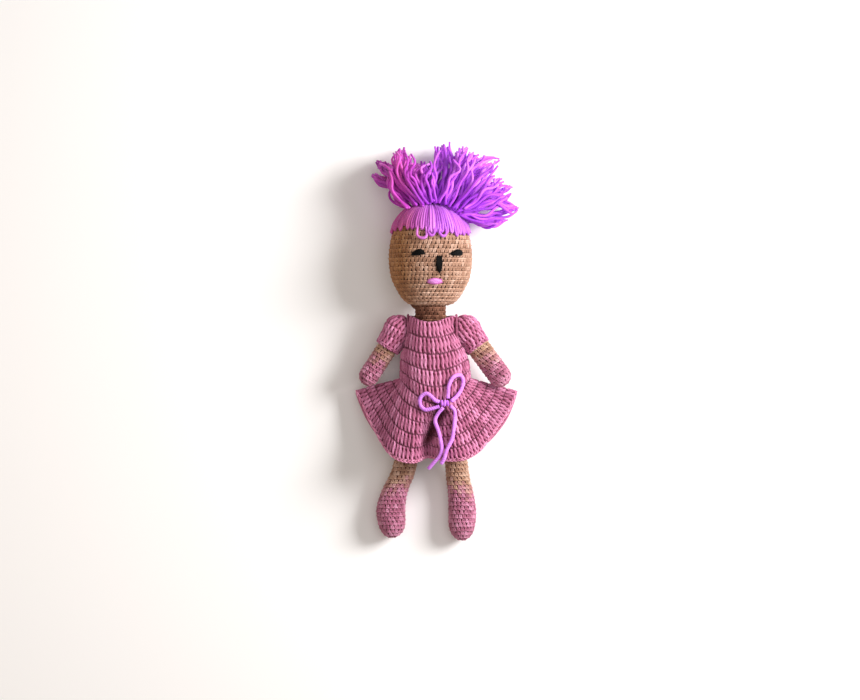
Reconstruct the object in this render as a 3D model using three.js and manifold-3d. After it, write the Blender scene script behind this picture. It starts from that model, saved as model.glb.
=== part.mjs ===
// A crocheted doll in a crocheted dress, lying on its back. Millimetres.
// +Y runs to the head, +X to the doll's left side and +Z up, out of its face.
// The origin is the middle of the flat on the back of the dress, where the doll rests.
import * as THREE from "three";
import { mergeVertices } from "three/addons/utils/BufferGeometryUtils.js";
import { LoftGeometry } from "three/addons/geometries/LoftGeometry.js";
import Module from "manifold-3d";

const wasm = await Module();
wasm.setup();

// Yarn, walls and clearances
const seamGap = 0.3;
const runningGap = 0.4;
const skinWall = 3;
const dressWall = 3.4;
const capWall = 2.8;
const settleDepth = 0.5;
const overrun = 60;

// Head
const neckSide = -5;
const headHalfWidth = 37.5;
const headDepthShare = 0.92;
const headHeight = 89.5;
const headBottomY = 70;
const headDepth = headHalfWidth * headDepthShare;
const headZ = headDepth + seamGap + capWall - settleDepth;
const headOutlineShare = [
  [0.43, 0], [0.64, 0.045], [0.79, 0.134], [0.924, 0.246], [0.985, 0.36], [1, 0.5],
  [0.955, 0.648], [0.821, 0.804], [0.645, 0.905], [0.327, 0.972], [0, 1],
];

// Hair cap: its edge lies above the eyes in front and low on the nape
const capFrontY = 135;
const capBackY = 112;
const fringeDrop = 2.2;
const fringeLoops = 13;
const pointsPerLoop = 3;

// Torso and bodice
const bodiceHalfWidth = 32.4;
const bodiceDepthShare = 0.84;
const neckDepthShare = 1;
const bodiceTopY = 58.5;
const necklineDip = 4.5;
const waistFrontY = -19;
const waistSideRise = 22;
const waistBackRise = 8;
const bodiceLength = bodiceTopY - waistFrontY;
const bodiceZ = bodiceHalfWidth * bodiceDepthShare - settleDepth;
const bodiceOutlineShare = [
  [0.94, 0], [0.994, 0.14], [1, 0.31], [0.957, 0.54], [0.88, 0.67],
  [0.756, 0.826], [0.665, 0.93], [0.63, 1.02],
];
const torsoHalfWidth = bodiceHalfWidth - dressWall - runningGap;
const torsoTopY = 46;
const torsoBottomY = -27;
const torsoLength = torsoTopY - torsoBottomY;
const torsoOutlineShare = [
  [0, 0], [0.46, 0.025], [0.75, 0.095], [0.93, 0.18], [0.99, 0.29], [0.985, 0.43],
  [0.925, 0.56], [0.8, 0.7], [0.67, 0.795], [0.53, 0.89], [0.437, 1],
];

// Neck: a stuffed tube whose ball end sits in the top of the torso
const neckPivotY = 52;
const neckZ = 30;
const neckBallRadius = 12;
const neckRadius = 14.3;
const neckShoulderY = headBottomY - seamGap;
const neckFlareY = 4.6;
const neckSpigotRadius = 12.2;
const neckSpigotLength = 6;
const necklineRadius = 17.4;

// Shoulders, sleeves and arms
const shoulderSide = -3.4;
const shoulderHalfSpan = 30.2;
const shoulderY = 46.5;
const shoulderZ = 27;
const sleeveWall = 3;
const sleeveLength = 19;
const armholeRadius = 7;
const seamYarnRadius = 1.2;
const seamInset = 8.5;
const stubRadius = 5.5;
const armColourShare = 0.53;
// The sleeve's puff and its cuff are sizes over the arm's own radius.
const armSizes = {
  left: { radius: 10.6, puff: 4.4, cuff: 2, reach: 36.4, drop: 49, rise: 2 },
  right: { radius: 9.4, puff: 5.6, cuff: 3, reach: 31.5, drop: 48.4, rise: -2 },
};

// Hips, legs and socks
const hipSide = -1;
const hipHalfSpan = 14.4;
const hipY = -35;
const hipZ = 24;
const hipBallRadius = 10.6;
const hipBallTurn = 1.2;
const legSizes = {
  left: { footRadius: 12.8, length: 118.2, out: 10.2 },
  right: { footRadius: 13.3, length: 115.8, out: 25.1 },
};
const sockLength = 49;
const sockSlantShare = 0.2;
// Each row: share of the leg's length, of the foot's width, of its depth, of the way out and down
const legFormShare = [
  [0.1, 0.81, 1, 0, 0], [0.2, 0.8, 1, 0.12, 0.15], [0.3, 0.8, 1, 0.28, 0.32],
  [0.4, 0.82, 1, 0.45, 0.52], [0.51, 0.85, 1, 0.6, 0.75], [0.65, 0.92, 1, 0.88, 0.95],
  [0.78, 1, 1.04, 1, 1], [0.89, 0.95, 1.1, 0.97, 1], [0.955, 0.74, 1.12, 0.96, 1],
  [0.99, 0.4, 1.12, 0.96, 1],
];

// Skirt: side, drop and height of the hem every 18 degrees round from the doll's left
const skirtHalfSpan = 73;
const skirtLength = 54;
const skirtRise = 56;
const settledShare = 0.1;
const hemShare = [
  [1, -0.19, 0.2], [0.89, 0.155, 0.38], [0.715, 0.49, 0.62], [0.545, 0.787, 0.82],
  [0.34, 0.935, 0.97], [0.1, 0.95, 0.86], [-0.1, 0.9, 0.64], [-0.28, 0.985, 0.93],
  [-0.515, 0.91, 0.84], [-0.775, 0.41, 0.45], [-0.99, -0.2, 0.2], [-0.87, 0.22, 0.02],
  [-0.68, 0.6, 0.02], [-0.47, 0.83, 0.02], [-0.23, 0.9, 0.02], [0, 0.9, 0.02],
  [0.23, 0.9, 0.02], [0.47, 0.83, 0.02], [0.68, 0.6, 0.02], [0.88, 0.24, 0.02],
];

// Face: side from the middle of the head, height, width and height of each feature
const faceRaise = 1.4;
const eyeSizes = { left: 22.1, right: -10.9, y: 115.8, width: 13.1, height: 5.4 };
const noseSizes = { side: 7.7, y: 106, width: 5.2, height: 16 };
const mouthSizes = { side: 4, y: 90.4, width: 15, height: 5.2 };

// Loose hair: locks from the crown, each given by its tip
const tuftRootY = headBottomY + headHeight + seamGap + capWall + seamGap;
const tuftSide = neckSide + 2;
const tuftSpacing = 17;
const tuftHalfWidth = 8.2;
const tuftHalfHeight = 7;
const tuftHalfDepth = 13;
const tuftSideDrop = 2;
const lockRadius = 3.3;
const lockStartShare = 0.5;
const lockWidthShare = [0, 1.05, 1, 0.9, 0.72, 0];
const lockBendShare = { x: 0.35, y: 0.62, z: 0.3 };
const tuftTips = {
  right: [
    [-57.7, 188.6, 8], [-53.7, 200.4, 10], [-43, 199.5, 24], [-38.2, 205.8, 5],
    [-32.4, 214.1, 14], [-25.6, 208.1, 30], [-39, 175, 22], [-47, 193, 33], [-30, 190, 47],
  ],
  middle: [
    [-16.4, 197.1, 36], [-7.2, 199.5, 8], [5.4, 213.5, 20], [11.2, 219, 7],
    [20, 217, 30], [-12, 206, 22], [2, 201, 48], [12, 193, 57], [-6, 186, 58],
  ],
  left: [
    [26.6, 215, 12], [34.7, 209.8, 28], [56, 204.6, 9], [47.3, 189.7, 42],
    [58.2, 179.9, 24], [68, 178.8, 9], [63, 171, 34], [74.3, 157.5, 12],
    [61, 143, 20], [41, 200, 46], [40, 172, 54],
  ],
};
const tuftRoots = {
  right: { x: tuftSide - tuftSpacing, y: tuftRootY - tuftSideDrop, z: headZ },
  middle: { x: tuftSide, y: tuftRootY, z: headZ },
  left: { x: tuftSide + tuftSpacing, y: tuftRootY - tuftSideDrop, z: headZ },
};

// Bow: the routes of its free yarn
const bowYarn = 3.4;
const knotSizes = { side: 7.8, y: -18.4, halfWidth: 4.4, halfHeight: 2.7, halfDepth: 3 };
const bowRoutes = {
  bow_loop_right: [
    [3, -21.2, 55.4], [-3.4, -23.2, 54.8], [-9.6, -24.2, 53.6], [-13.6, -20.8, 52.8],
    [-14.4, -15.2, 53.4], [-12, -11.2, 54.4], [-7.8, -9.8, 55.8], [-3.8, -12.8, 56],
    [-0.6, -16, 55.8], [3, -17.2, 55.6],
  ],
  bow_loop_left: [
    [10.4, -14.2, 55.6], [10.9, -9.2, 55.2], [11.5, -2.5, 55.4], [15.3, 4.7, 54.4],
    [21.6, 6.5, 51], [24.3, 1, 49], [22.7, -5.6, 49.9], [18.6, -12.2, 51.9], [13.6, -16.6, 54.6],
  ],
  bow_tail_right: [
    [6.2, -22.4, 57.6], [1.2, -28.6, 56], [-0.8, -34.5, 55], [2, -42.8, 54.8], [4.1, -51.6, 55.2],
    [5.1, -59.3, 55.5], [3.1, -65.6, 54.8], [-1.5, -71, 52.8], [-6.7, -76.9, 49.6],
  ],
  bow_tail_left: [
    [12.9, -20.9, 57.2], [16.5, -24.9, 55.8], [16.8, -31.4, 55.8], [15.7, -41.8, 57.2],
    [14.4, -50, 57.8], [11.4, -56.3, 58], [9, -61.5, 57.8], [7.4, -67.4, 57],
    [4.4, -72.4, 55.4],
  ],
};

const colours = {
  skin: { color: 0x9b7a5e, roughness: 0.95, metalness: 0 },
  stuffing: { color: 0xe9e4da, roughness: 1, metalness: 0 },
  dress: { color: 0xa65f7d, roughness: 0.95, metalness: 0 },
  limbPink: { color: 0xa96a80, roughness: 0.95, metalness: 0 },
  hair: { color: 0xb35fd0, roughness: 0.85, metalness: 0 },
  bow: { color: 0xc77ee8, roughness: 0.85, metalness: 0 },
  black: { color: 0x17120f, roughness: 0.7, metalness: 0 },
  lip: { color: 0xd884b4, roughness: 0.7, metalness: 0 },
};

// Solids

// A closed geometry as a solid, with its shared points merged and its empty triangles dropped.
function toSolid(geometry) {
  const plain = new THREE.BufferGeometry();
  plain.setAttribute("position", geometry.getAttribute("position"));
  plain.setIndex(geometry.index);
  const merged = mergeVertices(plain);
  const triangles = [];
  const index = merged.index.array;
  for (let i = 0; i < index.length; i += 3) {
    const [a, b, c] = index.slice(i, i + 3);
    if (a !== b && b !== c && c !== a) triangles.push(a, b, c);
  }
  const vertProperties = new Float32Array(merged.attributes.position.array);
  const triVerts = new Uint32Array(triangles);
  return new wasm.Manifold(new wasm.Mesh({ numProp: 3, vertProperties, triVerts }));
}

function toMesh(name, solid, finish) {
  const data = solid.getMesh();
  const geometry = new THREE.BufferGeometry();
  geometry.setAttribute("position", new THREE.Float32BufferAttribute(data.vertProperties, 3));
  geometry.setIndex(new THREE.BufferAttribute(data.triVerts, 1));
  geometry.computeVertexNormals();
  const mesh = new THREE.Mesh(geometry, new THREE.MeshStandardMaterial(finish));
  mesh.name = name;
  return mesh;
}

// A tube or body skinned over rings; the last ring joins the first where the form closes on itself.
function loft(sections, closing = false) {
  return toSolid(new LoftGeometry(closing ? [...sections, sections[0]] : sections));
}

function ball(radius, centre, sides = 20) {
  const geometry = new THREE.SphereGeometry(radius, sides, sides / 2);
  return toSolid(geometry.translate(centre.x, centre.y, centre.z));
}

// Reads a table of rows, the first column ascending, as smooth curves of that column.
function curvesOf(rows) {
  const places = rows.map((row) => row[0]);
  const size = rows[0].length - 1;
  const reader = new THREE.CubicInterpolant(places, rows.flatMap((row) => row.slice(1)), size);
  return (at) => {
    const inside = THREE.MathUtils.clamp(at, places[0], places[places.length - 1]);
    return Array.from(reader.evaluate(inside));
  };
}

// The outline of a turned form: points of half width and level, evenly along its curve.
function outline(shares, halfWidth, startY, length, steps) {
  const points = shares.map(([w, y]) => new THREE.Vector2(w * halfWidth, startY + y * length));
  return new THREE.SplineCurve(points).getSpacedPoints(steps)
    .map((p) => new THREE.Vector2(Math.max(p.x, 0), p.y));
}

// Points of an arc about the origin, by its turn from the +Y pole.
function arc(radius, from, to, count) {
  return Array.from({ length: count + 1 }, (_, i) => {
    const turn = from + ((to - from) * i) / count;
    return new THREE.Vector2(turn === 0 ? 0 : radius * Math.sin(turn), radius * Math.cos(turn));
  });
}

// An outline moved square to itself, outwards for a positive distance. Poles stay on the axis.
function offset(points, distance) {
  const last = points.length - 1;
  return points.map((p, i) => {
    if (p.x === 0) return new THREE.Vector2(0, p.y + (i === 0 ? -distance : distance));
    const along = points[Math.min(i + 1, last)].clone().sub(points[Math.max(i - 1, 0)]).normalize();
    return new THREE.Vector2(Math.max(p.x + along.y * distance, 0), p.y - along.x * distance);
  });
}

// One ring of a body that runs along Y.
function ring(radius, y, sides, place) {
  const at = place(y);
  return Array.from({ length: sides }, (_, i) => {
    const turn = (i / sides) * Math.PI * 2;
    return new THREE.Vector3(
      at.x + radius * at.wide * Math.sin(turn),
      y,
      at.z + radius * at.deep * Math.cos(turn),
    );
  });
}

const straight = () => ({ x: 0, z: 0, wide: 1, deep: 1 });

// A closed body from an outline whose ends lie on the axis.
function body(points, sides, place = straight) {
  return loft(points.map((p) => ring(p.x, p.y, sides, place)));
}

// A skin of the given wall inside an outline, open where the outline ends off the axis.
function skin(points, wall, sides, place = straight) {
  const path = [...points, ...offset(points, -wall).reverse()];
  return loft(path.map((p) => ring(p.x, p.y, sides, place)), true);
}

const up = [0, 0, 1];

// What fits inside a skin: its outline moved in by the wall and a seam gap.
function stuffingOutline(points, wall) {
  return offset(points, -wall - seamGap);
}

// Torso and bodice

// The body's centreline leans to the neck and its section grows rounder towards it.
function torsoPlace(y) {
  const rise = THREE.MathUtils.clamp((y - waistFrontY) / (neckPivotY - waistFrontY), 0, 1);
  return {
    x: neckSide * rise ** 2,
    z: bodiceZ + (neckZ - bodiceZ) * rise ** 2,
    wide: 1,
    deep: bodiceDepthShare + (neckDepthShare - bodiceDepthShare) * rise ** 2,
  };
}

const neckPivot = new THREE.Vector3(neckSide, neckPivotY, neckZ);
const sides = { left: 1, right: -1 };
const shoulderOf = (side) =>
  new THREE.Vector3(shoulderSide + sides[side] * shoulderHalfSpan, shoulderY, shoulderZ);
const hipOf = (side) =>
  new THREE.Vector3(hipSide + sides[side] * hipHalfSpan, hipY, hipZ);
const sleeveRadiusOf = (side) => armSizes[side].radius + armSizes[side].puff;
const cuffRadiusOf = (side) => armSizes[side].radius + armSizes[side].cuff;

function torsoPieces() {
  const points = outline(torsoOutlineShare, torsoHalfWidth, torsoBottomY, torsoLength, 9);
  let shell = skin(points, skinWall, 22, torsoPlace);
  const inner = stuffingOutline(points, skinWall);
  const top = inner[inner.length - 1];
  let filling = body([...inner, new THREE.Vector2(0, top.y)], 14, torsoPlace);
  shell = shell.subtract(ball(neckBallRadius + seamGap, neckPivot));
  filling = filling.subtract(ball(neckBallRadius + seamGap, neckPivot, 16));
  for (const side of Object.keys(sides)) {
    shell = shell.subtract(ball(hipBallRadius + seamGap, hipOf(side)));
    shell = shell.subtract(ball(sleeveRadiusOf(side) + runningGap, shoulderOf(side)));
  }
  return [
    toMesh("torso", shell, colours.skin),
    toMesh("torso_stuffing", filling, colours.stuffing),
  ];
}

// The waist seam dips in front and rises to the sides; turn 0 is the doll's left, 90 degrees its front.
function waistSeamY(turn) {
  const across = Math.cos(turn) ** 2;
  const back = Math.max(-Math.sin(turn), 0) * (1 - across);
  return waistFrontY + waistSideRise * across + waistBackRise * back;
}

const bodiceHalfWidthAt = (() => {
  const read = curvesOf(bodiceOutlineShare.map(([w, y]) => [y, w]));
  return (y) => bodiceHalfWidth * read((y - waistFrontY) / bodiceLength)[0];
})();

// A point of the bodice's outer face, moved in by a wall.
function bodicePoint(turn, y, wall) {
  const at = torsoPlace(y);
  const radius = bodiceHalfWidthAt(y) - wall;
  return new THREE.Vector3(
    at.x + radius * Math.cos(turn),
    y,
    at.z + radius * at.deep * Math.sin(turn),
  );
}

function ringOfTurns(count, pointAt) {
  return Array.from({ length: count }, (_, i) => pointAt(-(i / count) * Math.PI * 2));
}

function bodicePiece() {
  const levels = 7;
  const around = 32;
  const sectionAt = (share, wall) => ringOfTurns(around, (turn) => {
    const bottom = waistSeamY(turn) + seamGap;
    return bodicePoint(turn, bottom + share * (bodiceTopY - bottom), wall);
  });
  const steps = Array.from({ length: levels + 1 }, (_, i) => i / levels);
  let cloth = loft([
    ...steps.map((share) => sectionAt(share, 0)),
    ...steps.reverse().map((share) => sectionAt(share, dressWall)),
  ], true);
  cloth = cloth.trimByPlane(up, 0);
  cloth = cloth.subtract(ball(necklineRadius, neckPivot));
  const dip = Math.atan2(necklineDip, 2 * necklineRadius);
  const slant = [0, -Math.cos(dip), -Math.sin(dip)];
  const backEdgeZ = neckZ - necklineRadius;
  cloth = cloth.trimByPlane(slant, slant[1] * bodiceTopY + slant[2] * backEdgeZ);
  for (const side of Object.keys(sides)) {
    cloth = cloth.subtract(ball(sleeveRadiusOf(side) + runningGap, shoulderOf(side)));
    cloth = cloth.subtract(seamRing(side, runningGap));
    cloth = cloth.subtract(sleeveRest(side));
  }
  return toMesh("bodice", cloth, colours.dress);
}

// The space that the cuff's inner side sweeps beside the bodice: a cone about the shoulder's axis.
function sleeveRest(side) {
  const lean = Math.atan2(armSizes[side].reach, armSizes[side].drop);
  const sleeveRadius = sleeveRadiusOf(side);
  const cuffRadius = cuffRadiusOf(side);
  const leave = Math.sqrt(sleeveRadius ** 2 - cuffRadius ** 2);
  const [near, far] = [leave - sleeveRadius, sleeveLength + sleeveRadius].map((along) => ({
    inset: (cuffRadius + runningGap) * Math.cos(lean) - along * Math.sin(lean),
    radius: Math.max(along * Math.cos(lean) + (cuffRadius + runningGap) * Math.sin(lean), seamGap),
  }));
  const geometry = new THREE.CylinderGeometry(near.radius, far.radius, near.inset - far.inset, 24);
  geometry.translate(0, (near.inset + far.inset) / 2, 0);
  geometry.rotateZ((sides[side] * Math.PI) / 2);
  const centre = shoulderOf(side);
  return toSolid(geometry.translate(centre.x, centre.y, centre.z));
}

// Armhole seam: a round of yarn about the shoulder's axis, in which the arm swings.
function seamRing(side, clearance) {
  const clear = sleeveRadiusOf(side) + runningGap + seamYarnRadius;
  const major = Math.sqrt(clear ** 2 - seamInset ** 2);
  const geometry = new THREE.TorusGeometry(major, seamYarnRadius + clearance, 6, 24);
  geometry.rotateY(Math.PI / 2);
  const centre = shoulderOf(side);
  geometry.translate(centre.x - sides[side] * seamInset, centre.y, centre.z);
  return toSolid(geometry);
}

// Skirt

const hemPoints = hemShare.map(([side, drop, height]) => new THREE.Vector3(
  side * skirtHalfSpan,
  waistFrontY - drop * skirtLength,
  height * skirtRise + dressWall / 2 - settleDepth * (height < settledShare ? 1 : 0),
));
const hem = new THREE.CatmullRomCurve3(hemPoints, true, "centripetal");

// The skirt's middle surface at a turn round the waist and a share of the way to the hem.
function skirtPoint(turn, share) {
  const whole = ((turn / (Math.PI * 2)) % 1 + 1) % 1;
  const bottom = hem.getPoint(whole);
  const waist = bodicePoint(turn, waistSeamY(turn) - seamGap, dressWall / 2);
  return waist.lerp(bottom, share);
}

function skirtPiece() {
  const around = 50;
  const down = 5;
  const step = 0.01;
  const face = (share, distance) => ringOfTurns(around, (turn) => {
    if (share === 0) {
      return bodicePoint(turn, waistSeamY(turn) - seamGap, dressWall / 2 - distance);
    }
    const here = skirtPoint(turn, share);
    const alongTurn = skirtPoint(turn + step, share).sub(skirtPoint(turn - step, share));
    const alongDrop = skirtPoint(turn, share + step).sub(skirtPoint(turn, share - step));
    return here.add(alongTurn.cross(alongDrop).normalize().multiplyScalar(distance));
  });
  const steps = Array.from({ length: down + 1 }, (_, i) => i / down);
  const cloth = loft([
    ...steps.map((share) => face(share, dressWall / 2)).reverse(),
    ...steps.map((share) => face(share, -dressWall / 2)),
  ], true);
  return toMesh("skirt", cloth.trimByPlane(up, 0), colours.dress);
}

// Head

const headOutline = outline(headOutlineShare, headHalfWidth, headBottomY, headHeight, 10);
const headPlace = () => ({ x: 0, z: 0, wide: 1, deep: headDepthShare });
const headSides = 26;

// The whole head grown by a distance, with the same flats as the head.
function headGrown(distance) {
  const points = offset(headOutline, distance);
  return body([new THREE.Vector2(0, points[0].y), ...points], headSides, headPlace);
}

function headPieces() {
  const shell = skin(headOutline, skinWall, headSides, headPlace);
  const inner = stuffingOutline(headOutline, skinWall);
  let filling = body([new THREE.Vector2(0, inner[0].y), ...inner], 16, headPlace);
  const neckTopY = headBottomY + neckSpigotLength + seamGap;
  filling = filling.trimByPlane([0, 1, 0], neckTopY);
  return [
    toMesh("head", shell, colours.skin),
    toMesh("head_stuffing", filling, colours.stuffing),
  ];
}

// The point a share of the way from a level of an outline to its top.
function pointAbove(points, y, share) {
  const next = points.findIndex((p) => p.y >= y);
  const part = (y - points[next - 1].y) / (points[next].y - points[next - 1].y);
  const start = next - 1 + part;
  const at = start + share * (points.length - 1 - start);
  const low = Math.min(Math.floor(at), points.length - 2);
  return points[low].clone().lerp(points[low + 1], at - low);
}

// The cap of hair: its edge follows the hairline and hangs in a row of loops.
function hairCapPiece() {
  const around = fringeLoops * pointsPerLoop;
  const down = 5;
  const edgeAt = (turn) => {
    const back = Math.max(-Math.sin(turn), 0) ** 2;
    const loop = Math.abs(Math.sin((turn * fringeLoops) / 2));
    return capFrontY + (capBackY - capFrontY) * back - fringeDrop * loop;
  };
  const face = (share, distance) => {
    const moved = offset(headOutline, distance);
    return ringOfTurns(around, (turn) => {
      const p = pointAbove(moved, edgeAt(turn), share);
      return new THREE.Vector3(p.x * Math.cos(turn), p.y, p.x * headDepthShare * Math.sin(turn));
    });
  };
  const steps = Array.from({ length: down + 1 }, (_, i) => i / down);
  const middle = new THREE.Vector3(0, capBackY, 0);
  const hair = loft([
    Array.from({ length: around }, () => middle),
    ...steps.map((share) => face(share, seamGap + capWall)),
  ]);
  return toMesh("hair_cap", hair.subtract(headGrown(seamGap)).trimByPlane(up, -headZ), colours.hair);
}

// Face: each feature is a raised pad of satin stitches on the front of the head.
function faceLayer() {
  return headGrown(seamGap + faceRaise).subtract(headGrown(seamGap));
}

function featurePiece(name, layer, shape, x, y, finish) {
  const geometry = new THREE.ExtrudeGeometry(shape, {
    depth: overrun, bevelEnabled: false, curveSegments: 6,
  });
  return toMesh(name, toSolid(geometry.translate(x, y, 0)).intersect(layer), finish);
}

function facePieces() {
  const layer = faceLayer();
  const eye = new THREE.Shape();
  eye.moveTo(-eyeSizes.width / 2, -eyeSizes.height / 2);
  eye.quadraticCurveTo(-eyeSizes.width / 2, eyeSizes.height / 2, 0, eyeSizes.height / 2);
  eye.quadraticCurveTo(eyeSizes.width / 2, eyeSizes.height / 2, eyeSizes.width / 2, -eyeSizes.height / 2);
  eye.closePath();
  const nose = new THREE.Shape();
  nose.absellipse(0, 0, noseSizes.width / 2, noseSizes.height / 2, 0, Math.PI * 2);
  const mouth = new THREE.Shape();
  mouth.absellipse(0, 0, mouthSizes.width / 2, mouthSizes.height / 2, 0, Math.PI * 2);
  return [
    featurePiece("left_eye", layer, eye, eyeSizes.left, eyeSizes.y, colours.black),
    featurePiece("right_eye", layer, eye, eyeSizes.right, eyeSizes.y, colours.black),
    featurePiece("nose", layer, nose, noseSizes.side, noseSizes.y, colours.black),
    featurePiece("mouth", layer, mouth, mouthSizes.side, mouthSizes.y, colours.lip),
  ];
}

// Neck

// The neck rises from the torso's seat to the middle of the head.
function neckPlace(y) {
  const rise = THREE.MathUtils.smoothstep(y, neckPivotY, neckShoulderY);
  return { x: 0, z: neckZ + (headZ - neckZ) * rise, wide: 1, deep: 1 };
}

function neckPieces() {
  const shoulderY = neckShoulderY - neckPivotY;
  const topY = shoulderY + neckSpigotLength;
  const seat = (radius) => arc(radius, Math.PI, Math.PI / 2, 4);
  const outer = [
    ...seat(neckBallRadius),
    new THREE.Vector2(neckRadius, neckFlareY),
    new THREE.Vector2(neckRadius, shoulderY),
    new THREE.Vector2(neckSpigotRadius, shoulderY),
    new THREE.Vector2(neckSpigotRadius, topY),
  ];
  const bore = (wall) => [
    ...seat(neckBallRadius - wall),
    new THREE.Vector2(neckSpigotRadius - wall, shoulderY - skinWall),
  ];
  const inner = [...bore(skinWall), new THREE.Vector2(neckSpigotRadius - skinWall, topY)];
  const fillingWall = skinWall + seamGap;
  const core = [
    ...bore(fillingWall),
    new THREE.Vector2(neckSpigotRadius - fillingWall, topY - seamGap),
    new THREE.Vector2(0, topY - seamGap),
  ];
  const rings = (points, count) =>
    points.map((p) => ring(p.x < seamGap ? 0 : p.x, neckPivotY + p.y, count, neckPlace));
  return [
    toMesh("neck", loft(rings([...outer, ...inner.reverse()], 18)), colours.skin),
    toMesh("neck_stuffing", loft(rings(core, 12)), colours.stuffing),
  ];
}

// Arms: made about the shoulder with the hand along -Y, then laid in their direction

function armDirection(side) {
  const size = armSizes[side];
  return new THREE.Vector3(sides[side] * size.reach, -size.drop, size.rise);
}

function armGroup(side) {
  const size = armSizes[side];
  const direction = armDirection(side);
  const length = direction.length();
  const group = new THREE.Group();
  group.position.copy(shoulderOf(side));
  const down = new THREE.Vector3(0, -1, 0);
  group.quaternion.setFromUnitVectors(down, direction.clone().normalize());
  const inward = new THREE.Vector3(-sides[side], 0, 0)
    .applyQuaternion(group.quaternion.clone().invert());

  // The hand is a half ball, the arm tapers up to the ball of its root.
  const r = size.radius;
  const sleeveRadius = sleeveRadiusOf(side);
  const cuffRadius = cuffRadiusOf(side);
  const armRootRadius = sleeveRadius - sleeveWall - runningGap;
  const handArc = arc(r, 0, Math.PI / 2, 3)
    .map((p) => new THREE.Vector2(p.x, r - length - p.y));
  const rootTurn = Math.PI - Math.asin(r / armRootRadius);
  const points = [...handArc, new THREE.Vector2(r, -sleeveLength), ...arc(armRootRadius, rootTurn, 0, 5)];
  const whole = body(points, 14);
  const cavity = body(offset(points, -skinWall), 14);
  const shell = whole.subtract(cavity);
  const colourY = -length * armColourShare;
  const upper = shell.trimByPlane([0, 1, 0], colourY + seamGap / 2);
  const lower = shell.trimByPlane([0, -1, 0], -colourY + seamGap / 2);

  // The stub through the armhole, by which the arm is sewn on.
  const along = new THREE.CylinderGeometry(stubRadius, stubRadius, sleeveRadius, 10);
  along.translate(0, sleeveRadius / 2, 0);
  along.applyQuaternion(new THREE.Quaternion().setFromUnitVectors(new THREE.Vector3(0, 1, 0), inward));
  const stub = toSolid(along).subtract(body(offset(points, -skinWall / 2), 14))
    .intersect(ball(sleeveRadius, new THREE.Vector3(), 16));

  const filling = body(offset(points, -skinWall - seamGap), 10);

  // The sleeve is a ball that runs out to its cuff, open at the cuff and at the armhole.
  const cuffInner = r + seamGap;
  const outerTurn = Math.PI - Math.asin(cuffRadius / sleeveRadius);
  const innerTurn = Math.PI - Math.asin(cuffInner / (sleeveRadius - sleeveWall));
  const outerFace = [new THREE.Vector2(cuffRadius, -sleeveLength), ...arc(sleeveRadius, outerTurn, 0, 5)];
  const innerFace = [
    new THREE.Vector2(cuffInner, -sleeveLength),
    ...arc(sleeveRadius - sleeveWall, innerTurn, 0, 5),
  ];
  const puff = loft([...outerFace, ...innerFace.reverse()].map((p) => ring(p.x, p.y, 18, straight)), true);
  const holeCut = new THREE.CylinderGeometry(armholeRadius, armholeRadius, overrun, 14);
  holeCut.translate(0, overrun / 2, 0);
  holeCut.applyQuaternion(new THREE.Quaternion().setFromUnitVectors(new THREE.Vector3(0, 1, 0), inward));

  group.add(
    toMesh(`${side}_upper_arm`, upper.add(stub), colours.skin),
    toMesh(`${side}_forearm`, lower, colours.limbPink),
    toMesh(`${side}_arm_stuffing`, filling, colours.stuffing),
    toMesh(`${side}_sleeve`, puff.subtract(toSolid(holeCut)), colours.dress),
  );
  return group;
}

// Legs: made about the hip, with the foot along -Y

function legGroup(side) {
  const size = legSizes[side];
  const group = new THREE.Group();
  group.position.copy(hipOf(side));
  const top = hipBallRadius;
  const read = curvesOf(legFormShare);
  const footZ = size.footRadius - settleDepth - hipZ;
  const place = (y) => {
    const [width, deep, out, drop] = read((top - y) / size.length);
    const settled = width * deep * size.footRadius - settleDepth - hipZ;
    return {
      x: sides[side] * out * size.out,
      z: drop * Math.max(settled, footZ),
      wide: 1,
      deep,
    };
  };
  const form = [new THREE.Vector2(0, top - size.length)];
  for (const [share, width] of [...legFormShare].reverse()) {
    form.push(new THREE.Vector2(width * size.footRadius, top - share * size.length));
  }
  form.push(...arc(hipBallRadius, hipBallTurn, 0, 3));
  const whole = body(form, 16, place).trimByPlane(up, -hipZ);
  const cavity = body(offset(form, -skinWall), 16, place);
  const shell = whole.subtract(cavity);
  const slant = new THREE.Vector3(sides[side] * sockSlantShare, 1, 0).normalize();
  const sockY = top - size.length + sockLength;
  const sockX = place(sockY).x;
  const level = slant.x * sockX + slant.y * sockY;
  const upper = shell.trimByPlane(slant.toArray(), level + seamGap / 2);
  const lower = shell.trimByPlane(slant.clone().negate().toArray(), -level + seamGap / 2);
  group.add(
    toMesh(`${side}_leg`, upper, colours.skin),
    toMesh(`${side}_sock`, lower, colours.limbPink),
    toMesh(`${side}_leg_stuffing`, body(offset(form, -skinWall - seamGap), 10, place), colours.stuffing),
  );
  return group;
}

// Hair locks

// A lock: a tube that bends up from its root and tapers to its tip.
function lock(root, tip) {
  const rise = tip.clone().sub(root);
  const bend = new THREE.Vector3(
    rise.x * lockBendShare.x, rise.y * lockBendShare.y, rise.z * lockBendShare.z,
  );
  const curve = new THREE.QuadraticBezierCurve3(root, root.clone().add(bend), tip);
  const steps = lockWidthShare.length - 1;
  const frames = curve.computeFrenetFrames(steps);
  const lockSides = 5;
  return loft(lockWidthShare.map((width, i) => {
    const at = curve.getPointAt(i / steps);
    return Array.from({ length: lockSides }, (_, j) => {
      const turn = (j / lockSides) * Math.PI * 2;
      return at.clone()
        .addScaledVector(frames.normals[i], lockRadius * width * Math.cos(turn))
        .addScaledVector(frames.binormals[i], lockRadius * width * Math.sin(turn));
    });
  }));
}

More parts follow.
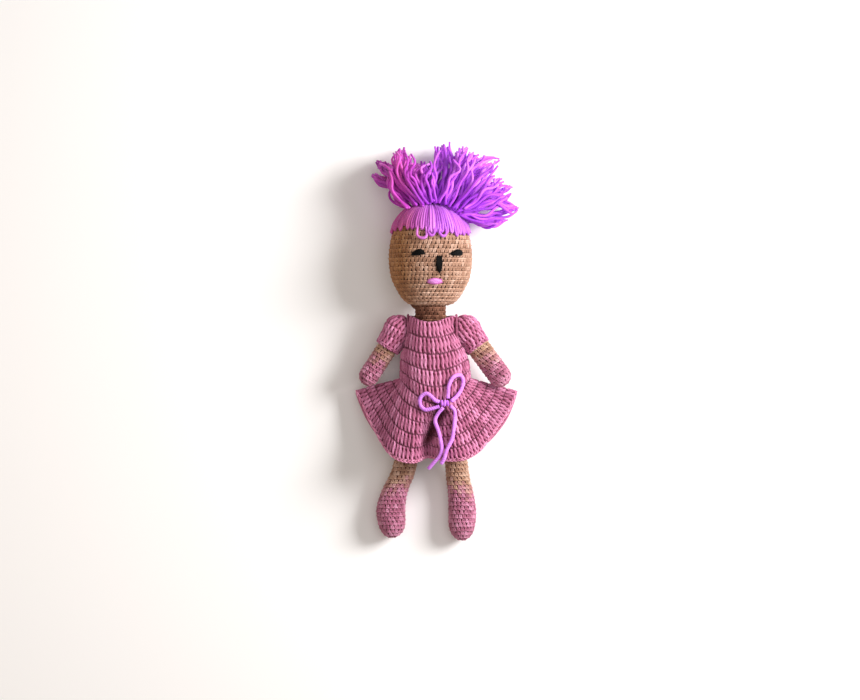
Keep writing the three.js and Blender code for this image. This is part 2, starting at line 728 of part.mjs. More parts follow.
// A tuft: locks that share one knotted root, which sits on the cap.
function tuftPieces() {
  const capTop = headGrown(2 * seamGap + capWall).translate([neckSide, 0, headZ]);
  return Object.entries(tuftTips).map(([name, tips]) => {
    const place = tuftRoots[name];
    const root = new THREE.Vector3(place.x, place.y, place.z);
    const knot = new THREE.SphereGeometry(1, 12, 8);
    knot.scale(tuftHalfWidth, tuftHalfHeight, tuftHalfDepth);
    let tuft = toSolid(knot.translate(root.x, root.y, root.z));
    for (const tip of tips) {
      const end = new THREE.Vector3(...tip);
      const way = end.clone().sub(root).normalize();
      const start = root.clone().add(new THREE.Vector3(
        way.x * tuftHalfWidth, way.y * tuftHalfHeight, way.z * tuftHalfDepth,
      ).multiplyScalar(lockStartShare));
      tuft = tuft.add(lock(start, end));
    }
    return toMesh(`hair_tuft_${name}`, tuft.subtract(capTop), colours.hair);
  });
}

// Bow

function bowPieces() {
  const front = bodicePoint(Math.PI / 2, waistFrontY, 0);
  const knot = new THREE.SphereGeometry(1, 14, 8);
  knot.scale(knotSizes.halfWidth, knotSizes.halfHeight, knotSizes.halfDepth);
  knot.translate(knotSizes.side, knotSizes.y, front.z + seamGap + knotSizes.halfDepth);
  const pieces = [toMesh("bow_knot", toSolid(knot), colours.bow)];
  const profile = new THREE.Shape();
  profile.absarc(0, 0, bowYarn / 2, 0, Math.PI * 2);
  for (const [name, route] of Object.entries(bowRoutes)) {
    const path = new THREE.CatmullRomCurve3(route.map((p) => new THREE.Vector3(...p)));
    const steps = Math.round(path.getLength() / (2 * bowYarn));
    const geometry = new THREE.ExtrudeGeometry(profile, {
      steps, extrudePath: path, curveSegments: 8, bevelEnabled: false,
    });
    pieces.push(toMesh(name, toSolid(geometry), colours.bow));
  }
  return pieces;
}

const doll = new THREE.Group();
doll.add(...torsoPieces(), bodicePiece(), skirtPiece(), ...tuftPieces(), ...bowPieces());

const head = new THREE.Group();
head.position.set(neckSide, 0, headZ);
head.add(...headPieces(), hairCapPiece(), ...facePieces());
doll.add(head);

const neck = new THREE.Group();
neck.position.set(neckSide, 0, 0);
neck.add(...neckPieces());
doll.add(neck);

for (const side of Object.keys(sides)) {
  doll.add(toMesh(`${side}_armhole_seam`, seamRing(side, 0), colours.dress));
  doll.add(armGroup(side), legGroup(side));
}

export default doll;
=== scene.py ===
"""The looks of a crocheted doll: stitched yarn over stuffed forms, a crocheted dress, yarn hair and a bow.

Sizes in the dataclasses are in millimetres. Meshes are made in metres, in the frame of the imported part:
+Y runs to the head, +X to the doll's left side and +Z up out of its face.
"""

from __future__ import annotations

import logging
import math
from dataclasses import astuple, dataclass, field
from enum import Enum
from typing import Callable, Optional, Sequence

import bmesh
import bpy
import numpy as np
from mathutils import Matrix, Vector

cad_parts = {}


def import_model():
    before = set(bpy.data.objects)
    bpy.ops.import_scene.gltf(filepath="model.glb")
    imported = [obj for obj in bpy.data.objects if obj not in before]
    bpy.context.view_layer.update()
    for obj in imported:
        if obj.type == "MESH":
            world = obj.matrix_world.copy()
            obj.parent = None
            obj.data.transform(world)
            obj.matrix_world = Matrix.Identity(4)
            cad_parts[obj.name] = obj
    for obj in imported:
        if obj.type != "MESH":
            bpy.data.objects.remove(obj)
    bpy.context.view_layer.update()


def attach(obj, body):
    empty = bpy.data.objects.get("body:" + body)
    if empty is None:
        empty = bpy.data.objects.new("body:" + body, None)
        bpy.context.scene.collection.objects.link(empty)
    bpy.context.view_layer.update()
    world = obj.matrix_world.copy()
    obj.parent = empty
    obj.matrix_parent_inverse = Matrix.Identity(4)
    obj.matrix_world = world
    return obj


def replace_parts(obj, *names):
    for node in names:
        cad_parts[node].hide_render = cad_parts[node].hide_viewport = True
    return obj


LOG = logging.getLogger("doll")
MM = 0.001
TURN = 2 * math.pi
FRAME_WIDTH = 774 * MM
FRAME_CENTRE = (-5.4 * MM, 29.0 * MM)
CAMERA_HEIGHT = 6.0

WAIST = -19.0
CHEST = 52.0
WAIST_DEPTH = 0.84
CHEST_DEPTH_GAIN = 0.16
CHEST_HEIGHT = 30.0
NECK_SIDE = -5.0
SINGLE_ROW = 3.9
SINGLE_LEAN = -0.12
FORM_SINK = 0.3
CLOTH_WALL = 1.2
LEAN_SPREAD = 0.1
SIDE_SPREAD = 0.04
ROW_SPREAD = 0.02
DYE_SPREAD = 0.16
LOWEST_YARN = 0.1
LOWEST_CLOTH = 0.3

Pair = tuple[float, float]
Triple = tuple[float, float, float]
Section = tuple[float, float, float, float, float]
Colour = tuple[int, int, int]
PointRule = Callable[[np.ndarray], np.ndarray]
Socket = bpy.types.NodeSocket


class Side(Enum):
    """The doll's own sides."""

    LEFT = 1
    RIGHT = -1

    @property
    def word(self) -> str:
        """The side's word in piece and body names."""
        return self.name.lower()


class Stitch(Enum):
    """The crochet stitches that the doll is worked in."""

    SINGLE = "single"
    DOUBLE = "double"
    CHAIN = "chain"


# Lines


def smooth_line(points: Sequence[Sequence[float]], steps: int = 8, closed: bool = False) -> np.ndarray:
    """A smooth curve through points.

    Args:
        points: The points, of any number of columns.
        steps: How many steps lie between two points.
        closed: Whether the curve returns to its first point.

    Returns:
        The curve's points, with the last one repeating the first where it is closed.
    """
    p = np.asarray(points, float)
    count = len(p)
    spans = count if closed else count - 1
    at = np.linspace(0, spans, spans * steps + 1)
    low = np.minimum(at.astype(int), spans - 1)
    f = (at - low)[:, None]

    def pick(index: np.ndarray) -> np.ndarray:
        """The points of an index, wrapped round or held at the ends."""
        return p[index % count] if closed else p[np.clip(index, 0, count - 1)]

    a, b, c, d = pick(low - 1), pick(low), pick(low + 1), pick(low + 2)
    return 0.5 * (2 * b + (c - a) * f + (2 * a - 5 * b + 4 * c - d) * f**2 + (3 * b - a - 3 * c + d) * f**3)


def evenly(line: np.ndarray, count: int, columns: int = 3) -> np.ndarray:
    """A line's points moved to equal distances along it.

    Args:
        line: The line's points.
        count: How many points to return.
        columns: How many of the first columns give the distance.

    Returns:
        The evenly spaced points.
    """
    steps = np.linalg.norm(np.diff(line[:, :columns], axis=0), axis=1)
    along = np.concatenate([[0.0], np.cumsum(steps)])
    wanted = np.linspace(0, along[-1], count)
    return np.stack([np.interp(wanted, along, column) for column in line.T], axis=1)


def line_length(line: np.ndarray) -> float:
    """The length of a line of points."""
    return float(np.linalg.norm(np.diff(line, axis=0), axis=1).sum())


def unit(vectors: np.ndarray) -> np.ndarray:
    """Vectors brought to length one."""
    return vectors / np.maximum(np.linalg.norm(vectors, axis=-1, keepdims=True), 1e-12)


# Surfaces that yarn is laid over


class Surface:
    """A round surface: turns run round it, a share runs down it and height stands off it."""

    def __init__(self, rings: np.ndarray) -> None:
        """Keeps the rings and their outward directions.

        Args:
            rings: Rows of points round the surface, in metres.
        """
        self.rings = rings
        around = np.roll(rings, -1, 1) - np.roll(rings, 1, 1)
        down = np.gradient(rings, axis=0)
        normals = np.cross(around, down)
        sizes = np.linalg.norm(normals, axis=2).mean(axis=1)
        normals = unit(normals)
        for end, inner in ((0, 1), (-1, -2)):
            if sizes[end] < 1e-3 * sizes.max():
                normals[end] = unit(normals[inner].mean(axis=0))
        outward = rings - rings.mean(axis=1, keepdims=True)
        self.normals = normals * (1.0 if (normals * outward).sum() > 0 else -1.0)
        self.length = float(np.linalg.norm(np.diff(rings, axis=0), axis=2).sum(axis=0).mean())
        gaps = np.linalg.norm(np.roll(rings, -1, 1) - rings, axis=2)
        self.girths = gaps.sum(axis=1)

    def girth(self, share: float) -> float:
        """The length round the surface at a share of the way down."""
        return float(np.interp(share * (len(self.girths) - 1), np.arange(len(self.girths)), self.girths))

    def even_turns(self, share: float, steps: np.ndarray) -> np.ndarray:
        """The turns at steps of equal length round the surface, at a share of the way down.

        Args:
            share: The share.
            steps: The steps, as parts of the whole way round, which may pass 1.

        Returns:
            The turns, which pass 1 where the steps do.
        """
        ring = self.rings[round(share * (len(self.rings) - 1))]
        gone = np.concatenate(([0.0], np.cumsum(np.linalg.norm(np.roll(ring, -1, 0) - ring, axis=1))))
        whole = np.floor(steps)
        return whole + np.interp(steps - whole, gone / gone[-1], np.linspace(0, 1, len(gone)))

    def at(self, turns: np.ndarray, share: np.ndarray, height: np.ndarray) -> np.ndarray:
        """The places of points given on the surface.

        Args:
            turns: Turns round the surface, one for the whole way.
            share: Shares of the way down it.
            height: Heights off it, in metres.

        Returns:
            The points, in metres.
        """
        rows, columns = self.rings.shape[:2]
        y = np.clip(share, 0, 1) * (rows - 1)
        low = np.minimum(y.astype(int), rows - 2)
        fy = (y - low)[:, None]
        x = np.mod(turns, 1.0) * columns
        left = np.floor(x).astype(int) % columns
        right = (left + 1) % columns
        fx = (x - np.floor(x))[:, None]

        def mixed(grid: np.ndarray) -> np.ndarray:
            """The grid's values between their four nearest points.

            Args:
                grid: One vector for each point of the rings.

            Returns:
                One vector for each place.
            """
            upper = grid[low, left] * (1 - fx) + grid[low, right] * fx
            lower = grid[low + 1, left] * (1 - fx) + grid[low + 1, right] * fx
            return upper * (1 - fy) + lower * fy

        return mixed(self.rings) + unit(mixed(self.normals)) * np.asarray(height)[:, None]


@dataclass(frozen=True)
class StuffedForm:
    """A stuffed form by its sections, which run along Y in the form's own frame.

    Each section is half width, level, side, height and half depth.
    """

    sections: tuple[Section, ...]
    place: Matrix = field(default_factory=Matrix)
    rows: int = 90
    columns: int = 72

    def surface(self) -> Surface:
        """The form's outer surface.

        Returns:
            The surface, in metres.
        """
        line = evenly(smooth_line(self.sections, 12), self.rows, 2)
        turns = np.arange(self.columns) / self.columns * TURN
        wide, level, side, height, deep = (column[:, None] for column in line.T)
        x = side + np.maximum(wide, 0) * np.cos(turns)
        y = level + 0 * turns
        z = height + np.maximum(deep, 0) * np.sin(turns)
        points = np.stack([x, y, z], axis=2) * MM
        turned = np.array(self.place.to_3x3(), float)
        return Surface(points @ turned.T + np.array(self.place.translation, float))


# Yarn finishes


class YarnNodes:
    """A yarn material's nodes, with a method for each kind that a finish needs."""

    FACTOR = 0
    FIRST = 6
    SECOND = 7
    RESULT = 2
    DARK_STOP = 0.18
    LIGHT_STOP = 0.85
    TINT_SHARE = 0.85
    BUMP_DEPTH = 0.4

    def __init__(self, name: str) -> None:
        """Starts a material.

        Args:
            name: The material's name.
        """
        self.material = bpy.data.materials.new(name)
        self.material.use_nodes = True
        self.nodes = self.material.node_tree.nodes
        self.links = self.material.node_tree.links
        self.shader = self.nodes["Principled BSDF"]
        self.place = self.nodes.new("ShaderNodeTexCoord")

    def attribute(self, name: str) -> Socket:
        """The value of an attribute of the mesh's points.

        Args:
            name: The attribute's name.

        Returns:
            The value's socket.
        """
        node = self.nodes.new("ShaderNodeAttribute")
        node.attribute_name = name
        return node.outputs["Fac"]

    def noise(self, scale: float, detail: float) -> Socket:
        """A noise value on the piece's object coordinates.

        Args:
            scale: How fine the noise is.
            detail: How many finer layers lie on it.

        Returns:
            The value's socket.
        """
        node = self.nodes.new("ShaderNodeTexNoise")
        node.inputs["Scale"].default_value = scale
        node.inputs["Detail"].default_value = detail
        self.links.new(self.place.outputs["Object"], node.inputs["Vector"])
        return node.outputs["Fac"]

    def axis(self, coordinates: str, name: str) -> Socket:
        """One axis of the piece's coordinates.

        Args:
            coordinates: Object or UV.
            name: The axis, as X, Y or Z.

        Returns:
            The value's socket.
        """
        node = self.nodes.new("ShaderNodeSeparateXYZ")
        self.links.new(self.place.outputs[coordinates], node.inputs["Vector"])
        return node.outputs[name]

    def maths(self, operation: str, *values: Socket | float) -> Socket:
        """A maths node over sockets and numbers.

        Args:
            operation: What the node does.
            *values: Its inputs, in order.

        Returns:
            The result's socket.
        """
        node = self.nodes.new("ShaderNodeMath")
        node.operation = operation
        for socket, value in zip(node.inputs, values):
            if isinstance(value, (int, float)):
                socket.default_value = value
            else:
                self.links.new(value, socket)
        return node.outputs["Value"]

    def ramp(self, blend: Socket, colours: Sequence[Colour]) -> Socket:
        """A yarn's colour from its gaps to its highlights.

        Args:
            blend: How far the colour has run.
            colours: The dark, the middle and the light colour.

        Returns:
            The colour's socket.
        """
        node = self.nodes.new("ShaderNodeValToRGB")
        dark, middle, light = ((*linear(colour), 1) for colour in colours)
        stops = node.color_ramp.elements
        stops[0].position = self.DARK_STOP
        stops[0].color = dark
        stops[1].position = self.LIGHT_STOP
        stops[1].color = light
        stops.new(0.5).color = middle
        self.links.new(blend, node.inputs["Fac"])
        return node.outputs["Color"]

    def mixed(self, share: Socket, first: Socket, second: Socket | Colour, blend: str = "MIX") -> Socket:
        """Two colours mixed.

        Args:
            share: How far the second colour is taken.
            first: The first colour.
            second: The second, as a socket or as 0 to 255 values.
            blend: How they mix.

        Returns:
            The colour's socket.
        """
        node = self.nodes.new("ShaderNodeMix")
        node.data_type = "RGBA"
        node.blend_type = blend
        self.links.new(share, node.inputs[self.FACTOR])
        self.links.new(first, node.inputs[self.FIRST])
        if isinstance(second, tuple):
            node.inputs[self.SECOND].default_value = (*linear(second), 1)
        else:
            self.links.new(second, node.inputs[self.SECOND])
        return node.outputs[self.RESULT]

    def tinted(self, colour: Socket, tint: Colour, axis: str, span: Pair) -> Socket:
        """A colour that turns to a tint along an axis of the object.

        Args:
            colour: The colour's socket.
            tint: What it is multiplied with at the span's end.
            axis: The axis, as X, Y or Z.
            span: The span's start and end, in millimetres.

        Returns:
            The tinted colour's socket.
        """
        node = self.nodes.new("ShaderNodeMapRange")
        node.interpolation_type = "SMOOTHSTEP"
        node.inputs["From Min"].default_value = span[0] * MM
        node.inputs["From Max"].default_value = span[1] * MM
        node.inputs["To Max"].default_value = self.TINT_SHARE
        self.links.new(self.axis("Object", axis), node.inputs["Value"])
        return self.mixed(node.outputs["Result"], colour, tint, "MULTIPLY")

    def bump(self, height: Socket, strength: float) -> None:
        """Gives the shader a relief.

        Args:
            height: The relief's height.
            strength: How much of it shows.
        """
        node = self.nodes.new("ShaderNodeBump")
        node.inputs["Strength"].default_value = strength
        node.inputs["Distance"].default_value = self.BUMP_DEPTH * MM
        self.links.new(height, node.inputs["Height"])
        self.links.new(node.outputs["Normal"], self.shader.inputs["Normal"])


@dataclass(frozen=True)
class YarnFinish:
    """A yarn's colours and surface. Colours run from the gaps to the highlights, as 0 to 255 values."""

    name: str
    slot: str
    dark: Colour
    middle: Colour
    light: Colour
    roughness: float = 0.85
    sheen: float = 0.5
    sheen_roughness: float = 0.45
    specular: float = 0.25
    plies: float = 3.0
    twist: float = 2.0
    relief: float = 0.35
    ply_relief: float = 0.5
    fibre_relief: float = 1.2
    mottle: float = 190.0
    mottle_share: float = 0.4
    fibre: float = 1500.0
    fibre_share: float = 0.5
    start: float = 0.07
    vary: float = 0.3
    # Painted shade: a tint that multiplies the colour toward -X, the side away from the key light.
    side_shade_tint: Optional[Colour] = None
    side_span: Pair = (6, -34)
    root_tint: Optional[Colour] = None
    root_span: Pair = (184, 160)
    # Second colours: a real colour change on the limbs, painted shade on the dress.
    dye_and_shade_colours: Optional[tuple[Colour, ...]] = None

    def material(self) -> bpy.types.Material:
        """The finish as a material, made once.

        Returns:
            The material.
        """
        known = bpy.data.materials.get(self.name)
        if known:
            return known
        tree = YarnNodes(self.name)
        tree.shader.inputs["Roughness"].default_value = self.roughness
        tree.shader.inputs["Sheen Weight"].default_value = self.sheen
        tree.shader.inputs["Sheen Roughness"].default_value = self.sheen_roughness
        tree.shader.inputs["Sheen Tint"].default_value = (*linear(self.light), 1)
        tree.shader.inputs["Specular IOR Level"].default_value = self.specular
        fibre = tree.noise(self.fibre, 2)
        mottle = tree.noise(self.mottle, 3)
        blend = tree.maths("MULTIPLY_ADD", mottle, self.mottle_share, self.start - self.vary / 2)
        blend = tree.maths("MULTIPLY_ADD", tree.attribute("tone"), self.vary, blend)
        blend = tree.maths("MULTIPLY_ADD", fibre, self.fibre_share, blend)
        colour = tree.ramp(blend, (self.dark, self.middle, self.light))
        # Mixes in the second colours: the limbs' real colour change and the dress's painted shade.
        if self.dye_and_shade_colours:
            colour = tree.mixed(tree.attribute("dye_and_shade"), colour, tree.ramp(blend, self.dye_and_shade_colours))
        if self.side_shade_tint:
            colour = tree.tinted(colour, self.side_shade_tint, "X", self.side_span)
        if self.root_tint:
            colour = tree.tinted(colour, self.root_tint, "Y", self.root_span)
        tree.links.new(colour, tree.shader.inputs["Base Color"])
        slant = tree.maths("MULTIPLY", tree.axis("UV", "Y"), self.twist)
        slant = tree.maths("MULTIPLY_ADD", tree.axis("UV", "X"), self.plies, slant)
        wave = tree.maths("SINE", tree.maths("MULTIPLY", slant, TURN))
        wave = tree.maths("MULTIPLY", wave, self.ply_relief)
        height = tree.maths("MULTIPLY_ADD", fibre, self.fibre_relief, wave)
        tree.bump(height, self.relief)
        return tree.material


def linear(colour: Sequence[int]) -> tuple[float, ...]:
    """A screen colour of 0 to 255 values as the shader's linear values."""
    shares = [value / 255 for value in colour]
    return tuple(s / 12.92 if s <= 0.04045 else ((s + 0.055) / 1.055) ** 2.4 for s in shares)


SKIN_COLOURS = ((108, 72, 52), (172, 132, 110), (214, 182, 164))
LIMB_COLOURS = ((116, 60, 80), (174, 103, 132), (218, 158, 188))
# Painted warm shade on the doll's right side (-X), away from the key light.
SKIN = YarnFinish(
    "skin_yarn", "skin", *SKIN_COLOURS, mottle=130, side_shade_tint=(228, 193, 121), side_span=(-10, -34),
)
SKIN_DARK = YarnFinish("neck_yarn", "skin", (58, 30, 20), (108, 68, 52), (160, 116, 94), mottle=130)
# Dark base under the skin stitches: painted shade of the gaps between them.
SKIN_GAP = YarnFinish("skin_gaps", "skin", (40, 20, 10), (66, 36, 20), (90, 54, 34), sheen=0.1)
UPPER_LIMB = YarnFinish("upper_limb_yarn", "skin", *SKIN_COLOURS, mottle=160, dye_and_shade_colours=LIMB_COLOURS)
LOWER_LIMB = YarnFinish("lower_limb_yarn", "limb_pink", *SKIN_COLOURS, mottle=160, dye_and_shade_colours=LIMB_COLOURS)
# Dark base under the limb stitches: painted shade of the gaps between them.
LIMB_GAP = YarnFinish("limb_gaps", "limb_pink", (56, 22, 24), (86, 42, 44), (112, 58, 66), sheen=0.1)
DRESS = YarnFinish(
    "dress_yarn", "dress", (130, 62, 88), (187, 109, 144), (234, 163, 203), sheen=0.3, mottle=220,
    # The dress's second colours are painted shade, for the front fold, the wings and the row seams.
    dye_and_shade_colours=((28, 4, 10), (70, 18, 30), (120, 46, 64)),
)
DRESS_EDGE = YarnFinish(
    "dress_edge_yarn", "dress", (160, 84, 112), (216, 134, 168), (246, 182, 214), mottle=220,
)
# Darker yarn for the armhole rounds: painted shade of the crease where sleeve meets bodice.
DRESS_SHADED_SEAM = YarnFinish(
    "dress_shaded_seam_yarn", "dress", (96, 40, 60), (146, 78, 106), (190, 120, 154), mottle=220,
)
# Dark cloth under the dress posts: painted shade of the gaps between them.
DRESS_GAP = YarnFinish("dress_gaps", "dress", (84, 28, 44), (124, 54, 76), (150, 76, 100), sheen=0.1)
# Painted warm shade on the hair's -X side, away from the key light.
HAIR = YarnFinish(
    "hair_yarn", "hair", (140, 42, 192), (196, 82, 236), (238, 144, 254), roughness=0.5, sheen=0.6,
    specular=0.35, twist=3, relief=0.3, mottle=60, vary=0.45, side_shade_tint=(255, 172, 182),
    root_tint=(220, 164, 242),
)
# Painted warm shade on the cap's -X side, away from the key light.
CAP = YarnFinish(
    "cap_yarn", "hair", (150, 56, 172), (196, 102, 228), (230, 152, 250), roughness=0.5, sheen=0.6,
    specular=0.45, twist=3, relief=0.3, mottle=60, vary=0.45, side_shade_tint=(240, 148, 134),
)
# Dark base under the cap's strands: painted shade of the gaps between them.
CAP_GAP = YarnFinish("cap_gaps", "hair", (84, 20, 90), (120, 40, 128), (150, 60, 160), sheen=0.1)
BOW = YarnFinish(
    "bow_yarn", "bow", (156, 66, 200), (204, 112, 240), (238, 162, 255), roughness=0.8, sheen=1.0, plies=2,
    twist=2.5, relief=0.5, mottle=300,
)
BLACK = YarnFinish(
    "black_thread", "black", (2, 2, 2), (4, 3, 3), (12, 11, 11), roughness=0.7, sheen=0.0, specular=0.12,
)
LIP = YarnFinish("lip_thread", "lip", (200, 112, 190), (222, 142, 218), (246, 184, 246), roughness=0.5)
LIP_EDGE = YarnFinish(
    "lip_edge_thread", "lip", (160, 70, 130), (190, 98, 166), (214, 128, 196), roughness=0.6,
)


# Yarn pieces


def new_piece(name: str, mesh: bpy.types.Mesh, finish: YarnFinish) -> bpy.types.Object:
    """An object of a mesh, in its finish.

    Args:
        name: The piece's name.
        mesh: Its mesh, in place.
        finish: The yarn it is made of.

    Returns:
        The object.
    """
    mesh.name = name
    mesh.shade_smooth()
    mesh.materials.clear()
    mesh.materials.append(finish.material())
    piece = bpy.data.objects.new(name, mesh)
    bpy.context.scene.collection.objects.link(piece)
    LOG.info("%s: %d faces", name, len(mesh.polygons))
    return piece


def add_lobe(bm: bmesh.types.BMesh, centre: Sequence[float], size: Sequence[float], lean: float,
             around: int = 6, along: int = 5) -> list[bmesh.types.BMVert]:
    """Adds a plump lobe of yarn that lies along Y and leans about Z.

    Args:
        bm: Where the lobe goes.
        centre: Its middle.
        size: Its width, length and thickness.
        lean: Its lean, in degrees, towards -X.
        around: Faces round it.
        along: Faces along it.

    Returns:
        The lobe's vertices.
    """
    place = (
        Matrix.Translation(Vector(centre))
        @ Matrix.Rotation(math.radians(lean), 4, "Z")
        @ Matrix.Diagonal((size[0], size[1], size[2], 1))
        @ Matrix.Rotation(math.radians(-90), 4, "X")
    )
    made = bmesh.ops.create_uvsphere(
        bm, u_segments=around, v_segments=along, radius=0.5, matrix=place, calc_uvs=True,
    )
    return made["verts"]


@dataclass(frozen=True)
class PostStrands:
    """The two strands that wind about each other in a tall stitch, in the stitch's own units."""

    middle: float = 0.46
    half: float = 0.53
    lift: float = 0.2
    size: Triple = (0.67, 1.06, 1.9)
    turns: float = 0.9
    start: float = 0.5
    sideways: float = 0.21
    upward: float = 0.5
    plain_half: float = 0.42
    end_fade: float = 0.06

    def add(self, bm: bmesh.types.BMesh) -> None:
        """Adds the strands.

        Args:
            bm: Where they go.
        """
        for phase in (0, math.pi):
            for vertex in add_lobe(bm, (0, self.middle, self.lift), self.size, 0, 6, 9):
                along = min(abs(vertex.co.y - self.middle) / self.half, 1)
                fuller = math.sqrt((1 + along**2) * (1 + along**4))
                turn = TURN * self.turns * vertex.co.y + phase + self.start
                vertex.co.x = vertex.co.x * fuller + self.sideways * math.cos(turn)
                high = (vertex.co.z - self.lift) * fuller
                vertex.co.z = self.lift + high + self.upward * math.sin(turn)

    def ends(self, levels: np.ndarray) -> np.ndarray:
        """How near levels up the stitch are to its ends, from 0 to 1."""
        return np.clip((np.abs(levels - self.middle) - self.plain_half) / self.end_fade, 0, 1)


def stitch_mesh(stitch: Stitch) -> bpy.types.Mesh:
    """One stitch, a unit wide and a unit high, with its thickness in millimetres.

    Args:
        stitch: The kind of stitch.

    Returns:
        Its mesh.
    """
    bm = bmesh.new()
    bm.loops.layers.uv.new("yarn")
    if stitch is Stitch.SINGLE:
        add_lobe(bm, (0.0, 0.7, 0.35), (0.6, 1.3, 1.9), 84)
        for hand in (-1, 1):
            add_lobe(bm, (hand * 0.2, 0.3, 0.15), (0.5, 0.85, 1.6), -hand * 14, 5, 5)
    elif stitch is Stitch.CHAIN:
        for hand in (-1, 1):
            add_lobe(bm, (0, hand * 0.25, 0.5), (0.5, 1.3, 1.7), hand * 66)
    else:
        PostStrands().add(bm)
        for level in (0.28, 0.6):
            add_lobe(bm, (0.05, level, 1.15), (0.34, 0.5, 1.1), -42, 5, 5)
        for hand in (-1, 1):
            add_lobe(bm, (hand * 0.25, 0.965, 0.05), (0.8, 0.11, 1.6), hand * 12, 5, 5)
    mesh = bpy.data.meshes.new(f"{stitch.value}_stitch")
    bm.to_mesh(mesh)
    bm.free()
    return mesh


@dataclass(frozen=True)
class Placed:
    """One stitch's place: its turn and share down, its width in turns, its height in shares, its lean."""

    turn: float
    share: float
    width: float
    height: float
    lean: float = 0.0


def copies_of(template: bpy.types.Mesh, count: int, name: str) -> tuple[bpy.types.Mesh, np.ndarray]:
    """A mesh of many copies of a template.

    Args:
        template: The mesh that is copied.
        count: How many copies there are.
        name: The new mesh's name.

    Returns:
        The mesh, and its points with one block for each copy.
    """
    bm = bmesh.new()
    for _ in range(count):
        bm.from_mesh(template)
    mesh = bpy.data.meshes.new(name)
    bm.to_mesh(mesh)
    bm.free()
    points = np.empty(len(mesh.vertices) * 3, np.float32)
    mesh.vertices.foreach_get("co", points)
    return mesh, points.reshape(count, len(template.vertices), 3).astype(float)


def set_tone(mesh: bpy.types.Mesh, tones: np.ndarray, each: int, name: str = "tone") -> None:
    """Gives a mesh's points an attribute, with one value from 0 to 1 for each run of so many points."""
    tone = mesh.attributes.new(name, "FLOAT", "POINT")
    tone.data.foreach_set("value", np.repeat(tones, each).astype(np.float32))


def crochet(name: str, surface: Surface, placed: Sequence[Placed], stitch: Stitch, finish: YarnFinish,
            seed: int, lift: float = 0.0, adjust: Optional[PointRule] = None,
            dyes: Optional[np.ndarray] = None, shade: Optional[PointRule] = None,
            seam: float = 0.0) -> bpy.types.Object:
    """Lays stitches over a surface.

    Args:
        name: The piece's name.
        surface: What the stitches are worked round.
        placed: The stitches' places.
        stitch: Their kind.
        finish: Their yarn.
        seed: The seed of their small differences.
        lift: Millimetres between the surface and the stitches' feet.
        adjust: Moves the points clear of their neighbours.
        dyes: How far each stitch has turned to its yarn's second colour.
        shade: Gives the same for points in millimetres, where it is more: painted shade.
        seam: The same for the ends of each stitch, where it is more: painted shade along the row seams.

    Returns:
        The piece.
    """
    template = stitch_mesh(stitch)
    mesh, blocks = copies_of(template, len(placed), name)
    draw = np.random.default_rng(seed)
    table = np.array([astuple(place) for place in placed])
    turn, share, width, height, lean = (column[:, None] for column in table.T)
    count = len(placed)
    plump = draw.uniform(0.9, 1.1, (count, 1))
    lean = lean + draw.normal(0, LEAN_SPREAD, (count, 1))
    across = blocks[..., 0] * plump + lean * (blocks[..., 1] - 0.5)
    across = across + draw.normal(0, SIDE_SPREAD, (count, 1))
    along = blocks[..., 1] + draw.normal(0, ROW_SPREAD, (count, 1))
    off = (blocks[..., 2] * draw.uniform(0.85, 1.12, (count, 1)) + lift) * MM
    points = surface.at((turn + across * width).ravel(), (share + along * height).ravel(), off.ravel())
    if adjust:
        points = adjust(points)
    points[:, 2] = np.maximum(points[:, 2], LOWEST_YARN * MM)
    mesh.vertices.foreach_set("co", points.astype(np.float32).ravel())
    set_tone(mesh, draw.random(count), blocks.shape[1])
    # The second colour's share: a real colour change on the limbs, painted shade from shade and seam.
    dye_and_shade = np.zeros(blocks.shape[:2])
    if dyes is not None:
        dye_and_shade += np.clip(dyes + draw.normal(0, DYE_SPREAD, count), 0, 1)[:, None]
    if shade:
        dye_and_shade = np.maximum(dye_and_shade, shade(points / MM).reshape(dye_and_shade.shape))
    # Painted shade at the ends of each stitch, along the row seams.
    if seam:
        dye_and_shade = np.maximum(dye_and_shade, seam * PostStrands().ends(blocks[..., 1]))
    set_tone(mesh, dye_and_shade.ravel(), 1, "dye_and_shade")
    mesh.update()
    bpy.data.meshes.remove(template)
    return new_piece(name, mesh, finish)


def rounds(surface: Surface, row: float, width: float, start: float = 0.0, end: float = 1.0,
           slant: float = 0.0, fewest: int = 5, even: bool = False) -> list[Placed]:
    """The places of rounds of stitches.

    Args:
        surface: What they are worked round.
        row: A row's height in millimetres.
        width: A stitch's width in millimetres.
        start: The share where the first round starts.
        end: The share where the last round ends.
        slant: The stitches' lean, in their own widths.
        fewest: The fewest stitches in a round.
        even: Whether a round's stitches are of one width where the surface flares.

    Returns:
        The stitches' places.
    """
    long = surface.length / MM * (end - start)
    count = max(1, round(long / row))
    step = (end - start) / count
    made = []
    for index in range(count):
        share = start + index * step
        around = max(fewest, round(surface.girth(share + step / 2) / MM / width))
        steps = (np.arange(around + 2) - 0.5 + 0.31 * index) / around
        edges = surface.even_turns(share + step / 2, steps) if even else steps
        for left, right in zip(edges[:around], edges[1:]):
            made.append(Placed((left + right) / 2, share, right - left, step, slant))
    return made


def one_round(around: int, share: float, height: float) -> list[Placed]:
    """The places of one round of so many stitches, at a share of the way down."""
    return [Placed(number / around, share, 1 / around, height) for number in range(around)]


def spots(surface: Surface, placed: Sequence[Placed], level: float = 0.5) -> np.ndarray:
    """Where stitches lie on their surface.

    Args:
        surface: The surface.
        placed: The stitches' places.
        level: The level up each stitch, with its foot at 0 and its head at 1.

    Returns:
        One point for each stitch, in metres.
    """
    turns = np.array([place.turn for place in placed])
    shares = np.array([place.share + place.height * level for place in placed])
    return surface.at(turns, shares, np.zeros(len(placed)))


def chosen(placed: Sequence[Placed], stays: Sequence[bool]) -> list[Placed]:
    """The stitches that stay."""
    return [place for place, stay in zip(placed, stays) if stay]


